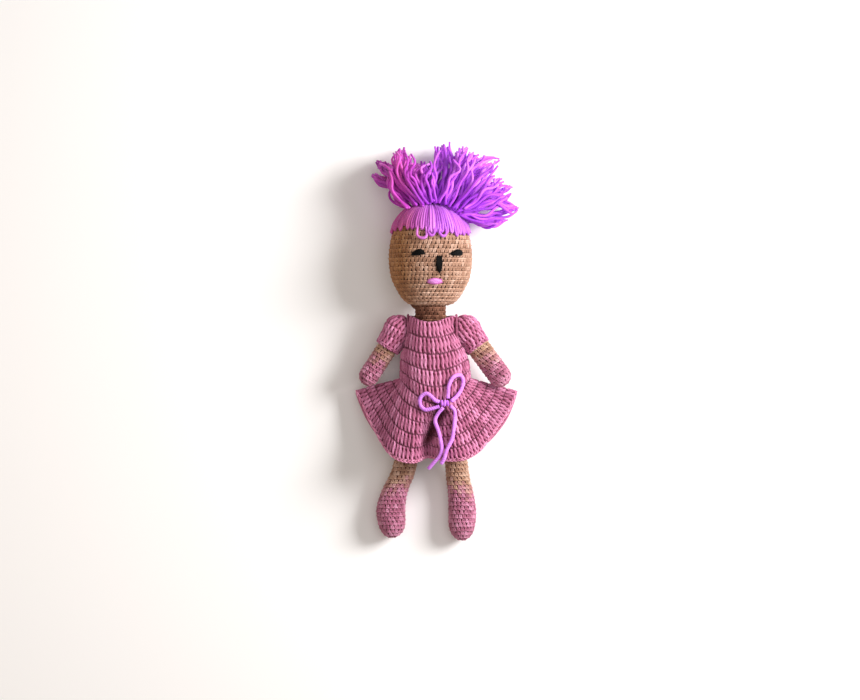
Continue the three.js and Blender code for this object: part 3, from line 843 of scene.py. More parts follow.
def cover(name: str, surface: Surface, finish: YarnFinish, sink: float, rows: int = 40, columns: int = 48,
          keep: Optional[PointRule] = None, closed: bool = True, span: Pair = (0.0, 1.0),
          adjust: Optional[PointRule] = None) -> bpy.types.Object:
    """The fabric or form under the stitches: a skin that follows a surface.

    Args:
        name: The piece's name.
        surface: The surface it follows.
        finish: Its yarn.
        sink: Millimetres by which it lies under the surface.
        rows: Faces along it.
        columns: Faces round it.
        keep: Says which face middles stay.
        closed: Whether its ends are closed.
        span: The shares between which it runs.
        adjust: Moves the points clear of their neighbours.

    Returns:
        The piece.
    """
    bm = bmesh.new()
    bm.loops.layers.uv.new("yarn")
    bmesh.ops.create_grid(bm, x_segments=columns, y_segments=rows, size=0.5, calc_uvs=True)
    grid = np.array([vertex.co for vertex in bm.verts])
    share = span[0] + (grid[:, 1] + 0.5) * (span[1] - span[0])
    places = surface.at((grid[:, 0] + 0.5) * (1 - 1e-9), share, np.full(len(grid), -sink * MM))
    if adjust:
        places = adjust(places)
    places[:, 2] = np.maximum(places[:, 2], LOWEST_CLOTH * MM)
    for vertex, place in zip(bm.verts, places):
        vertex.co = place
    bmesh.ops.remove_doubles(bm, verts=bm.verts[:], dist=1e-5)
    if keep:
        faces = bm.faces[:]
        middles = np.array([face.calc_center_median() for face in faces])
        stays = keep(middles)
        gone = [face for face, stay in zip(faces, stays) if not stay]
        bmesh.ops.delete(bm, geom=gone, context="FACES")
    if closed:
        bmesh.ops.holes_fill(bm, edges=bm.edges[:], sides=0)
        bmesh.ops.recalc_face_normals(bm, faces=bm.faces[:])
    mesh = bpy.data.meshes.new(name)
    bm.to_mesh(mesh)
    bm.free()
    piece = new_piece(name, mesh, finish)
    if not closed and piece.data.polygons:
        face = piece.data.polygons[len(piece.data.polygons) // 2]
        near = np.linalg.norm(surface.rings - np.array(face.center), axis=2).argmin()
        if np.dot(surface.normals.reshape(-1, 3)[near], np.array(face.normal)) < 0:
            piece.data.flip_normals()
    return piece


def thicken(piece: bpy.types.Object, thickness: float) -> None:
    """Gives a sheet of fabric its thickness on its inner side.

    Args:
        piece: The sheet.
        thickness: Its thickness in millimetres.
    """
    wall = piece.modifiers.new("wall", "SOLIDIFY")
    wall.thickness = thickness * MM
    wall.offset = -1
    wall.use_even_offset = False


class Path:
    """A smooth line with its own sideways directions, along which a strand lies."""

    def __init__(self, points: Sequence[Sequence[float]], count: int = 40, closed: bool = False) -> None:
        """Smooths the points and carries a direction along them.

        Args:
            points: The points in millimetres.
            count: How many points the line keeps.
            closed: Whether it returns to its first point.
        """
        self.points = evenly(smooth_line(points, 10, closed) * MM, count)
        tangents = unit(np.gradient(self.points, axis=0))
        if closed:
            tangents[0] = tangents[-1] = unit(self.points[1] - self.points[-2])
        side = np.cross(tangents[0], (0, 0, 1.0))
        if np.linalg.norm(side) < 1e-3:
            side = np.array([1.0, 0, 0])
        sides = []
        for tangent in tangents:
            side = unit(side - tangent * side.dot(tangent))
            sides.append(side)
        self.sides = np.array(sides)
        self.ups = np.cross(self.sides, tangents)
        self.length = line_length(self.points)

    def at(self, share: np.ndarray, across: np.ndarray, up: np.ndarray) -> np.ndarray:
        """The places of points given along the line and off it.

        Args:
            share: Shares of the way along.
            across: Metres to the side.
            up: Metres up from the line.

        Returns:
            The points, in metres.
        """
        where = np.clip(share, 0, 1) * (len(self.points) - 1)

        def read(grid: np.ndarray) -> np.ndarray:
            """The grid's rows between its points."""
            return np.stack([np.interp(where, np.arange(len(grid)), column) for column in grid.T], axis=-1)

        return read(self.points) + read(self.sides) * across[..., None] + read(self.ups) * up[..., None]


def strand_mesh(around: int, along: int) -> bpy.types.Mesh:
    """A straight strand from 0 to 1 along Z and one unit in radius, to be laid on paths.

    Args:
        around: Faces round it.
        along: Faces along it.

    Returns:
        Its mesh.
    """
    bm = bmesh.new()
    bm.loops.layers.uv.new("yarn")
    bmesh.ops.create_cone(
        bm, cap_ends=True, segments=around, radius1=1, radius2=1, depth=1,
        matrix=Matrix.Translation((0, 0, 0.5)), calc_uvs=True,
    )
    sides = [edge for edge in bm.edges if abs(edge.verts[0].co.z - edge.verts[1].co.z) > 0.5]
    bmesh.ops.subdivide_edges(bm, edges=sides, cuts=along - 1)
    layer = bm.loops.layers.uv["yarn"]
    for face in bm.faces:
        middle = face.calc_center_median()
        base = math.atan2(middle.y, middle.x)
        for loop in face.loops:
            turn = math.atan2(loop.vert.co.y, loop.vert.co.x) - base
            turn = (turn + math.pi) % TURN - math.pi
            loop[layer].uv = ((turn + base) / TURN, loop.vert.co.z)
    mesh = bpy.data.meshes.new("strand")
    bm.to_mesh(mesh)
    bm.free()
    return mesh


def strands(name: str, paths: Sequence[Path], radius: float, finish: YarnFinish, seed: int,
            around: int = 7, along: int = 16, taper: Sequence[float] = (1, 1), uneven: float = 0.06,
            twist_pitch: float = 4.0, flat: float = 1.0) -> bpy.types.Object:
    """Strands of yarn along paths.

    Args:
        name: The piece's name.
        paths: The lines they follow.
        radius: Their radius in millimetres.
        finish: Their yarn.
        seed: The seed of their small differences.
        around: Faces round a strand.
        along: Faces along a strand.
        taper: Shares of the radius from the first end to the last.
        uneven: How much the radius changes along a strand.
        twist_pitch: Millimetres for each step of the relief along the yarn.
        flat: The strand's thickness as a share of its width.

    Returns:
        The piece.
    """
    template = strand_mesh(around, along)
    mesh, blocks = copies_of(template, len(paths), name)
    draw = np.random.default_rng(seed)
    places = []
    for path, block in zip(paths, blocks):
        share = block[:, 2]
        size = np.interp(share, np.linspace(0, 1, len(taper)), taper)
        wobble = 1 + uneven * np.sin(share * draw.uniform(10, 24) + draw.uniform(0, TURN))
        size = size * wobble * draw.uniform(0.92, 1.08) * radius * MM
        places.append(path.at(share, block[:, 0] * size, block[:, 1] * size * flat))
    mesh.vertices.foreach_set("co", np.concatenate(places).astype(np.float32).ravel())
    layer = mesh.uv_layers["yarn"]
    uvs = np.empty(len(layer.uv) * 2, np.float32)
    layer.uv.foreach_get("vector", uvs)
    uvs = uvs.reshape(len(paths), -1, 2)
    for index, path in enumerate(paths):
        uvs[index, :, 1] *= path.length / MM / twist_pitch
    layer.uv.foreach_set("vector", uvs.ravel())
    set_tone(mesh, draw.random(len(paths)), blocks.shape[1])
    mesh.update()
    bpy.data.meshes.remove(template)
    return new_piece(name, mesh, finish)


# Head


@dataclass(frozen=True)
class Head:
    """The stuffed head, worked in rounds from the neck to the crown, with its face."""

    side: float = NECK_SIDE
    height: float = 37.1
    half_width: float = 37.5
    depth_share: float = 0.92
    bottom: float = 70.0
    long: float = 89.5
    stitch: float = 3.6
    stitched: Pair = (0.1, 0.86)
    skin: float = 1.1
    outline: tuple[Pair, ...] = (
        (0.0, 0.0), (0.43, 0.0), (0.64, 0.045), (0.79, 0.134), (0.924, 0.246), (0.985, 0.36), (1.0, 0.5),
        (0.955, 0.648), (0.821, 0.804), (0.645, 0.905), (0.327, 0.972), (0.0, 1.0),
    )
    thread: float = 0.85
    lip_thread: float = 0.65
    lip_edge_thread: float = 0.5
    dip: float = 1.2
    eye_rows: tuple[tuple[Side, tuple[Triple, ...]], ...] = (
        (Side.RIGHT, (
            (113.7, -22.2, -14), (114.6, -22.1, -9.6), (115.5, -21.3, -9.9), (116.4, -20.2, -10.6),
            (117.3, -18.6, -11.4), (118.1, -16.6, -12.6),
        )),
        (Side.LEFT, (
            (113.7, 13.2, 22.7), (114.5, 10.6, 23.4), (115.3, 12.8, 23.6), (116.2, 14, 23.4),
            (117.1, 15.4, 22.8), (117.9, 17.2, 21.6),
        )),
    )
    nose_side: float = 2.9
    nose_levels: Triple = (96.6, 106, 113.2)
    mouth: Pair = (-1, 90.3)
    mouth_half: float = 7.2
    lip_row: float = 1.5
    lip_edges: tuple[tuple[Pair, ...], ...] = (
        ((-9, 90.2), (-6, 91.9), (-1, 92.7), (4, 91.9), (7, 90.2)),
        ((-9, 90.2), (-6, 88.6), (-1, 87.8), (4, 88.6), (7, 90.2)),
    )

    def sections(self, grow: float = 0.0) -> tuple[Section, ...]:
        """The head's sections.

        Args:
            grow: Millimetres by which it is larger than the stuffed form.

        Returns:
            The sections, from the neck to the crown.
        """
        share = 1 + grow / self.half_width
        return tuple(
            (w * self.half_width * share, self.bottom + y * (self.long + grow), self.side, self.height,
             w * self.half_width * self.depth_share * share)
            for w, y in self.outline
        )

    def surface(self, grow: float = 0.0) -> Surface:
        """The head's outer surface, from the neck to the crown."""
        return StuffedForm(self.sections(grow)).surface()

    def front(self, x: float, y: float, lift: float) -> Triple:
        """A point over the face.

        Args:
            x: Its side.
            y: Its level.
            lift: Its height off the face.

        Returns:
            The point, in millimetres.
        """
        line = smooth_line(self.sections(), 12)
        wide = float(np.interp(y, line[:, 1], line[:, 0]))
        out = max(wide**2 - (x - self.side) ** 2, 0.0)
        return (x, y, self.height + self.depth_share * math.sqrt(out) + lift)

    def build(self) -> list[bpy.types.Object]:
        """The head's form, stitches and face.

        Returns:
            The pieces.
        """
        surface = self.surface(-self.skin)
        form = cover("head_form", surface, SKIN_GAP, FORM_SINK)
        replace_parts(form, "head", "head_stuffing")
        places = rounds(surface, SINGLE_ROW, self.stitch, *self.stitched, slant=SINGLE_LEAN)
        stitches = crochet("head_stitches", surface, places, Stitch.SINGLE, SKIN, 11)
        return [form, stitches, *self.face()]

    def threads(self, name: str, lines: Sequence[Sequence[Pair]], radius: float, lift: float,
                finish: YarnFinish, seed: int) -> bpy.types.Object:
        """Threads laid over the face, with their ends in the fabric.

        Args:
            name: The piece's name.
            lines: Each thread's points, as side and level.
            radius: The thread's radius.
            lift: How high its middle lies over the stitches.
            finish: Its yarn.
            seed: The seed of its small differences.

        Returns:
            The piece.
        """
        paths = []
        for line in lines:
            fine = evenly(smooth_line(line, 6), 9, 2)
            arch = np.sin(np.linspace(0, math.pi, len(fine))) ** 0.5
            lifts = lift * arch - self.dip * (1 - arch)
            paths.append(Path([self.front(x, y, high) for (x, y), high in zip(fine, lifts)], 24))
        return strands(name, paths, radius, finish, seed, 6, 12, (0.7, 1, 1, 0.7))

    def face(self) -> list[bpy.types.Object]:
        """The eyes, the nose and the mouth, in satin stitch.

        Returns:
            The pieces.
        """
        eyes = []
        for side, rows in self.eye_rows:
            lines = [[(first, y), ((first + last) / 2, y + 0.2), (last, y)] for y, first, last in rows]
            eye = self.threads(f"{side.word}_eye_threads", lines, self.thread, 1.3, BLACK, 21)
            eyes.append(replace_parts(eye, f"{side.word}_eye"))
        low, middle, high = self.nose_levels
        lines = [
            [
                (self.nose_side + 0.75 * across, low + abs(across) * 1.1),
                (self.nose_side + 1.1 * across, middle), (self.nose_side + across, high),
            ]
            for across in (-2, -1, 0, 1, 2)
        ]
        nose = self.threads("nose_threads", lines, self.thread, 1.5, BLACK, 23)
        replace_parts(nose, "nose")
        x, y = self.mouth
        lines = []
        for across in (-1, -0.6, -0.2, 0.2, 0.6, 1):
            half = self.mouth_half * math.sqrt(1 - 0.75 * across**2)
            level = y + self.lip_row * across
            lines.append([(x - half, level), (x, level), (x + half, level)])
        mouth = self.threads("mouth_threads", lines, self.lip_thread, 1.4, LIP, 25)
        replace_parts(mouth, "mouth")
        edge = self.threads("mouth_edge", self.lip_edges, self.lip_edge_thread, 1.0, LIP_EDGE, 26)
        return [*eyes, nose, mouth, edge]


# Hair


@dataclass(frozen=True)
class HairFan:
    """Strands that leave the crown together.

    Its root, bend and tip are side and level; count is its strands and spread how far the tips stray.
    """

    root: Pair
    bend: Pair
    tip: Pair
    count: int
    low: float = 6.0
    high: float = 52.0
    spread: float = 4.0


@dataclass(frozen=True)
class Hair:
    """The cap of looped yarn and the loose strands from the crown."""

    head: Head
    yarn: float = 2.5
    cap_yarn: float = 2.5
    cap_lift: float = 0.6
    cap_wall: float = 0.8
    cap_overhang: float = 4.0
    cap_top: float = 1.2
    edge_stray: float = 1.3
    loop_lean: float = 0.004
    loop_lift: Pair = (1.0, 1.6)
    fullness: float = 2.2
    shorter: float = 0.27
    roots: Pair = (18.0, 38.0)
    root_stray: Pair = (1.6, 0.8)
    early_stray: float = 1.7
    late_stray: float = 2.2
    lowest: float = 3.0
    wave_width: Pair = (0.8, 2.4)
    wave_turns: Pair = (6.0, 13.0)
    curl: tuple[Triple, ...] = (
        (-20, 154, 34), (-32, 158, 36), (-40, 163, 36), (-42, 169, 35), (-39, 173, 34), (-35, 171, 33),
        (-34, 166, 32),
    )
    front_edge: float = 134.5
    back_edge: float = 112.0
    edge_sweep: float = 6.0
    loops: int = 47
    hanging: tuple[Triple, ...] = ((-17, -8.5, 128.6), (-7, -1.5, 131), (3, 9, 130.4))
    fans: tuple[tuple[str, tuple[HairFan, ...]], ...] = (
        ("right", (
            HairFan((-16, 157), (-38, 176), (-57, 188), 4, 6, 22, 2),
            HairFan((-18, 158), (-38, 182), (-53, 200), 5, 6, 24, 3),
            HairFan((-16, 158), (-37, 186), (-42, 200), 6, 8, 36),
            HairFan((-14, 158), (-34, 190), (-32.5, 212), 7, 8, 44, 2.5),
            HairFan((-11, 159), (-29, 186), (-26, 206), 6, 10, 50, 3),
            HairFan((-24, 156), (-37, 172), (-38, 190), 6, 10, 50, 4),
        )),
        ("middle", (
            HairFan((-7, 159), (-21, 180), (-18, 197), 7, 10, 54, 3),
            HairFan((-5, 160), (-12, 182), (-10, 199), 7, 10, 56, 3),
            HairFan((-3, 160), (-4, 176), (-4, 191), 5, 10, 56, 3),
            HairFan((-2, 160), (1, 184), (5, 212), 5, 8, 40, 2),
            HairFan((0, 160), (11, 188), (11, 216), 5, 8, 36, 2.5),
            HairFan((3, 160), (15, 186), (19, 208), 7, 8, 54, 3),
        )),
        ("left", (
            HairFan((6, 159), (19, 190), (28, 213), 8, 8, 50, 3),
            HairFan((10, 158), (27, 190), (35, 208), 8, 8, 52, 3),
            HairFan((18, 155), (30, 188), (54, 204), 6, 8, 30, 3),
            HairFan((16, 155), (34, 180), (46, 196), 8, 8, 54, 4),
            HairFan((22, 154), (42, 172), (56, 184), 8, 8, 50, 4),
            HairFan((22, 153), (48, 168), (66, 178), 5, 8, 34, 3),
            HairFan((22, 152), (50, 160), (65, 168), 6, 8, 40, 3),
            HairFan((22, 151), (50, 162), (72, 157), 4, 8, 24, 2),
            HairFan((20, 151), (46, 149), (73, 157), 4, 10, 30, 2),
            HairFan((18, 154), (40, 144), (62, 147), 5, 14, 36, 2),
            HairFan((14, 156), (38, 142), (58, 145), 3, 30, 40, 1.5),
        )),
    )

    def edge(self, turn: float) -> float:
        """The hairline's level.

        Args:
            turn: The turn in radians, with the front at a quarter turn.

        Returns:
            The level, in millimetres.
        """
        back = max(-math.sin(turn), 0) ** 2
        sweep = self.edge_sweep * max(math.sin(turn), 0) * -math.cos(turn)
        return self.front_edge + (self.back_edge - self.front_edge) * back + sweep

    def share_of(self, surface: Surface, level: float) -> float:
        """The share up the head where its surface reaches a level, in millimetres."""
        levels = surface.rings[:, :, 1].mean(axis=1) / MM
        return float(np.interp(level, levels, np.linspace(0, 1, len(levels))))

    def build(self) -> list[bpy.types.Object]:
        """The cap, its strands and the loose hair.

        Returns:
            The pieces.
        """
        surface = self.head.surface(self.cap_lift)
        lowest = self.share_of(surface, self.back_edge + self.cap_overhang)

        def over_edge(middles: np.ndarray) -> np.ndarray:
            """Which faces of the cap lie above the hairline.

            Args:
                middles: The faces' middles, in metres.

            Returns:
                A flag for each face.
            """
            turns = np.arctan2(middles[:, 2] - self.head.height * MM, middles[:, 0] - self.head.side * MM)
            edges = np.array([self.edge(turn) for turn in turns])
            return middles[:, 1] / MM > edges + self.cap_overhang

        cap = cover("hair_cap_base", surface, CAP_GAP, -self.cap_lift, 60, 72, over_edge, False,
                    (lowest, 1.0))
        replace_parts(cap, "hair_cap")
        thicken(cap, self.cap_wall)
        made = [cap, self.cap_strands(surface)]
        for name, fans in self.fans:
            loose = self.loose(name, fans)
            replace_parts(loose, f"hair_tuft_{name}")
            made.append(loose)
        return made

    def cap_strands(self, surface: Surface) -> bpy.types.Object:
        """Loops of yarn from the crown to the hairline and back.

        Args:
            surface: The cap's surface.

        Returns:
            The piece.
        """
        draw = np.random.default_rng(31)
        top = self.share_of(surface, self.head.bottom + self.head.long - self.cap_top)
        paths = []
        for number in range(self.loops):
            turn = (number + 0.5) / self.loops
            angle = turn * TURN
            half = 0.5 / self.loops * draw.uniform(0.42, 0.56)
            low = self.share_of(surface, self.edge(angle) + draw.normal(0, self.edge_stray))
            lean = draw.normal(0, self.loop_lean)
            lift = draw.uniform(*self.loop_lift)
            down = np.array([
                (top, 0.8, 0.6), (low + (top - low) * 0.6, 1.15, 1.0), (low + (top - low) * 0.25, 1.1, 1.0),
                (low + 0.035, 1.0, 0.7), (low + 0.008, 0.62, 0.4),
            ])
            loop = np.concatenate([down * (1, -1, 1), [(low, 0, 0.3)], down[::-1]])
            share, across, high = loop.T
            where = turn + across * half + lean * (1 - share)
            paths.append(Path(surface.at(where, share, lift * high * MM) / MM, 60))
        for left, right, low in self.hanging:
            line = (
                (left + 1, 141), (left, 134), (left + 0.6, low + 2), ((left + right) / 2, low),
                (right, low + 2), (right - 0.6, 139),
            )
            paths.append(Path([self.head.front(x, y, 1.8 if y > 138 else 2.6) for x, y in line], 60))
        return strands("hair_cap_strands", paths, self.cap_yarn / 2, CAP, 33, 6, 34, (0.8, 1, 1.1, 1, 0.8),
                       0.1, flat=0.85)

    def loose(self, name: str, fans: Sequence[HairFan]) -> bpy.types.Object:
        """The loose strands of one part of the hair.

        Args:
            name: The part's name.
            fans: Its fans of strands.

        Returns:
            The piece.
        """
        draw = np.random.default_rng(41 + len(name))
        lowest_root, root_range = self.roots
        side_stray, level_stray = self.root_stray
        paths = []
        for fan in fans:
            count = round(fan.count * self.fullness)
            for number in range(count):
                level = (number + 0.5) / count
                tip_z = fan.low + (fan.high - fan.low) * level
                root_z = lowest_root + root_range * level
                stray = draw.normal(0, fan.spread, 2)
                short = draw.uniform(0, self.shorter) * (1 if number else 0)
                root_off = (draw.normal(0, side_stray), draw.normal(0, level_stray), 0)
                root = np.array((*fan.root, root_z)) + root_off
                bend = np.array((*fan.bend, (root_z + tip_z) / 2 + 3)) + (stray[0] * 0.6, stray[1] * 0.5, 0)
                tip = np.array((*fan.tip, tip_z)) + (stray[0], -abs(stray[1]), 0)
                tip = tip + (bend - tip) * short
                early = root + (bend - root) * 0.45 + draw.normal(0, self.early_stray, 3)
                late = bend + (tip - bend) * 0.55 + draw.normal(0, self.late_stray, 3)
                late[2] = max(late[2], self.lowest)
                line = evenly(smooth_line([root, early, bend, late, tip], 8), 11)
                along = np.linspace(0, 1, len(line))[:, None]
                aside = unit(np.cross(tip - root, (0, 0, 1))[None])[0]
                wide = draw.uniform(*self.wave_width) * along**0.6
                wave = np.sin(along * draw.uniform(*self.wave_turns) + draw.uniform(0, TURN))
                paths.append(Path(line + wide * wave * aside, 44))
        if name == "right":
            paths.append(Path(self.curl, 44))
        return strands(f"hair_strands_{name}", paths, self.yarn / 2, HAIR, 51 + len(name), 7, 18,
                       (0.95, 1, 1.05, 1, 0.75), 0.08, flat=0.9)


# Neck, torso, arms and legs


@dataclass(frozen=True)
class Neck:
    """The neck, a stuffed tube of darker stitches."""

    side: float = NECK_SIDE
    radius: float = 14.3
    skin: float = 1.3
    stitch: float = 3.7
    stitched: Pair = (0.25, 0.8)
    yarn: float = 2.6
    ends: tuple[Triple, ...] = (
        (-16, 66, 42), (-19.6, 67.5, 41), (-22, 70.5, 39), (-20.4, 72.6, 40), (-18, 70, 43),
        (-15, 71.5, 45),
    )

    def build(self) -> list[bpy.types.Object]:
        """The neck's form and stitches.

        Returns:
            The pieces.
        """
        r = self.radius - self.skin
        sections = (
            (0, 41, self.side, 30, 0), (9, 43.5, self.side, 30, 9), (11.4, 50, self.side, 30, 11.4),
            (r, 56.6, self.side, 31.4, r), (r - 0.2, 63, self.side, 34.5, r), (r, 69.7, self.side, 37, r),
            (r - 1.5, 73, self.side, 37, r - 1.5), (0, 74.5, self.side, 37, 0),
        )
        surface = StuffedForm(sections).surface()
        form = cover("neck_form", surface, SKIN_GAP, FORM_SINK, 24, 32)
        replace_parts(form, "neck", "neck_stuffing")
        places = rounds(surface, SINGLE_ROW, self.stitch, *self.stitched, slant=SINGLE_LEAN)
        stitches = crochet("neck_stitches", surface, places, Stitch.SINGLE, SKIN_DARK, 61)
        ends = strands("neck_yarn_ends", [Path(self.ends, 30)], self.yarn / 2, SKIN_DARK, 62, 7, 20)
        return [form, stitches, ends]


@dataclass(frozen=True)
class Torso:
    """The stuffed torso, which shows under the skirt. No stitches lie where the legs turn at the hips."""

    hips: tuple[Triple, ...] = ((13.4, -35.0, 24.0), (-15.4, -35.0, 24.0))
    half_width: float = 28.6
    bottom: float = -27.0
    long: float = 73.0
    skin: float = 1.3
    stitch: float = 3.9
    stitched: Pair = (0.02, 0.42)
    hip_clearance: float = 15.5
    outline: tuple[Pair, ...] = (
        (0, 0), (0.46, 0.025), (0.75, 0.095), (0.93, 0.18), (0.99, 0.29), (0.985, 0.43), (0.925, 0.56),
        (0.8, 0.7), (0.67, 0.795), (0.5, 0.89), (0.25, 0.93), (0, 0.935),
    )

    def build(self) -> list[bpy.types.Object]:
        """The torso's form and the stitches of its lower half.

        Returns:
            The pieces.
        """
        sections = []
        for w, y in self.outline:
            level = self.bottom + y * self.long
            rise = min(max((level - WAIST) / (CHEST - WAIST), 0), 1)
            wide = max(w * self.half_width - self.skin, 0)
            sections.append((
                wide, level + (0.8 if y == 0 else 0), NECK_SIDE * rise**2, 26.72 + 3.28 * rise**2,
                wide * (WAIST_DEPTH + CHEST_DEPTH_GAIN * rise**2),
            ))
        surface = StuffedForm(tuple(sections)).surface()
        form = cover("torso_form", surface, SKIN_GAP, FORM_SINK, 30, 40)
        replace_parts(form, "torso", "torso_stuffing")
        places = rounds(surface, SINGLE_ROW, self.stitch, *self.stitched, slant=SINGLE_LEAN)
        middles = spots(surface, places) / MM
        near = [min(math.dist(middle, hip) for hip in self.hips) for middle in middles]
        places = chosen(places, [far > self.hip_clearance for far in near])
        return [form, crochet("torso_stitches", surface, places, Stitch.SINGLE, SKIN, 63)]


@dataclass(frozen=True)
class Arm:
    """A stuffed arm in a puffed sleeve, sewn on at the shoulder."""

    hand: Side
    radius: float
    reach: float
    drop: float
    rise: float
    shoulder: Triple
    skin: float = 1.1
    stitch: float = 3.6
    colour_share: float = 0.53
    sleeve_radius: float = 15.0
    sleeve_long: float = 19.0
    sleeve_post: float = 2.0
    sleeve_row: float = 8.5
    sleeve_stitch: float = 3.9
    cuff: float = 12.6
    cuff_stitches: int = 20
    hole: float = 7.0
    hole_depth: float = 9.0

    def place(self) -> Matrix:
        """Where the arm's own frame lies: about the shoulder, with the hand along -Y.

        Returns:
            The frame, in metres.
        """
        direction = Vector((self.hand.value * self.reach, -self.drop, self.rise))
        turned = Vector((0, -1, 0)).rotation_difference(direction)
        return Matrix.Translation(Vector(self.shoulder) * MM) @ turned.to_matrix().to_4x4()

    def long(self) -> float:
        """The arm's length from the shoulder to the tip of the hand."""
        return Vector((self.reach, self.drop, self.rise)).length

    def arm_surface(self) -> Surface:
        """The arm's surface under its stitches, from the shoulder to the hand.

        Returns:
            The surface, in metres.
        """
        r, tip = self.radius - self.skin, -self.long() + self.skin
        sections = [(0, 10, 0, 0, 0), (7, 8, 0, 0, 7), (10, 0, 0, 0, 10), (r + 0.3, -12, 0, 0, r + 0.3)]
        sections += [(r, -19, 0, 0, r), (r, tip * 0.75, 0, 0, r * 0.97)]
        for turn in (90, 65, 42, 20, 0):
            wide = r * math.sin(math.radians(turn))
            sections.append((wide, tip + r - r * math.cos(math.radians(turn)), 0, 0, wide * 0.97))
        return StuffedForm(tuple(sections), self.place()).surface()

    def build(self) -> list[bpy.types.Object]:
        """The arm's form and stitches, and its sleeve.

        Returns:
            The pieces.
        """
        word = self.hand.word
        surface = self.arm_surface()
        form = cover(f"{word}_arm_form", surface, LIMB_GAP, FORM_SINK, 30, 28)
        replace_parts(form, f"{word}_upper_arm", f"{word}_forearm", f"{word}_arm_stuffing")
        total = surface.length / MM
        change = 1 - (self.long() * (1 - self.colour_share) + 4) / total
        start = 1 - (self.long() - 12 + 4) / total
        made = [form]
        parts = (("upper_arm", UPPER_LIMB, start, change), ("forearm", LOWER_LIMB, change, 0.985))
        for part, finish, first, last in parts:
            places = rounds(surface, SINGLE_ROW, self.stitch, first, last, SINGLE_LEAN)
            dyes = np.array([(place.share + place.height / 2 - change) / 0.24 + 0.5 for place in places])
            name = f"{word}_{part}_stitches"
            made.append(crochet(name, surface, places, Stitch.SINGLE, finish, 71, dyes=dyes))
        return made + self.sleeve()

    def sleeve(self) -> list[bpy.types.Object]:
        """The puffed sleeve and its cuff.

        Returns:
            The pieces.
        """
        word = self.hand.word
        middle = self.sleeve_radius - self.sleeve_post
        sections = [
            (middle * math.sin(turn), middle * math.cos(turn), 0, 0, middle * math.sin(turn))
            for turn in np.linspace(0.02, 2.0, 9)
        ]
        cuff = self.cuff - self.sleeve_post
        sections.append((cuff + 0.4, -self.sleeve_long * 0.75, 0, 0, cuff + 0.4))
        sections.append((cuff - 0.6, -self.sleeve_long, 0, 0, cuff - 0.6))
        surface = StuffedForm(tuple(sections), self.place()).surface()
        inward = np.array((-self.hand.value, 0, 0))
        centre = np.array(self.shoulder) * MM

        def outside_armhole(middles: np.ndarray) -> np.ndarray:
            """Which points aren't in the armhole.

            Args:
                middles: The points, in metres.

            Returns:
                A flag for each point.
            """
            off = middles - centre
            along = off @ inward
            across = np.linalg.norm(off - along[:, None] * inward, axis=1)
            return (along < 0) | (across > self.hole * MM)

        cloth = cover(f"{word}_sleeve_cloth", surface, DRESS_GAP, 0.0, 26, 36, outside_armhole, False)
        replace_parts(cloth, f"{word}_sleeve")
        thicken(cloth, CLOTH_WALL)
        places = rounds(surface, self.sleeve_row, self.sleeve_stitch, 0.03, 0.96, slant=0.2, fewest=6)
        where = spots(surface, places)
        stays = outside_armhole(where) | ((where - centre) @ inward < self.hole_depth * MM)
        places = chosen(places, stays)
        posts = crochet(f"{word}_sleeve_posts", surface, places, Stitch.DOUBLE, DRESS, 73, -0.2)
        edge = one_round(self.cuff_stitches, 0.95, 0.08)
        cuff_edge = crochet(f"{word}_sleeve_edge", surface, edge, Stitch.CHAIN, DRESS, 74, 0.4)
        return [cloth, posts, cuff_edge]


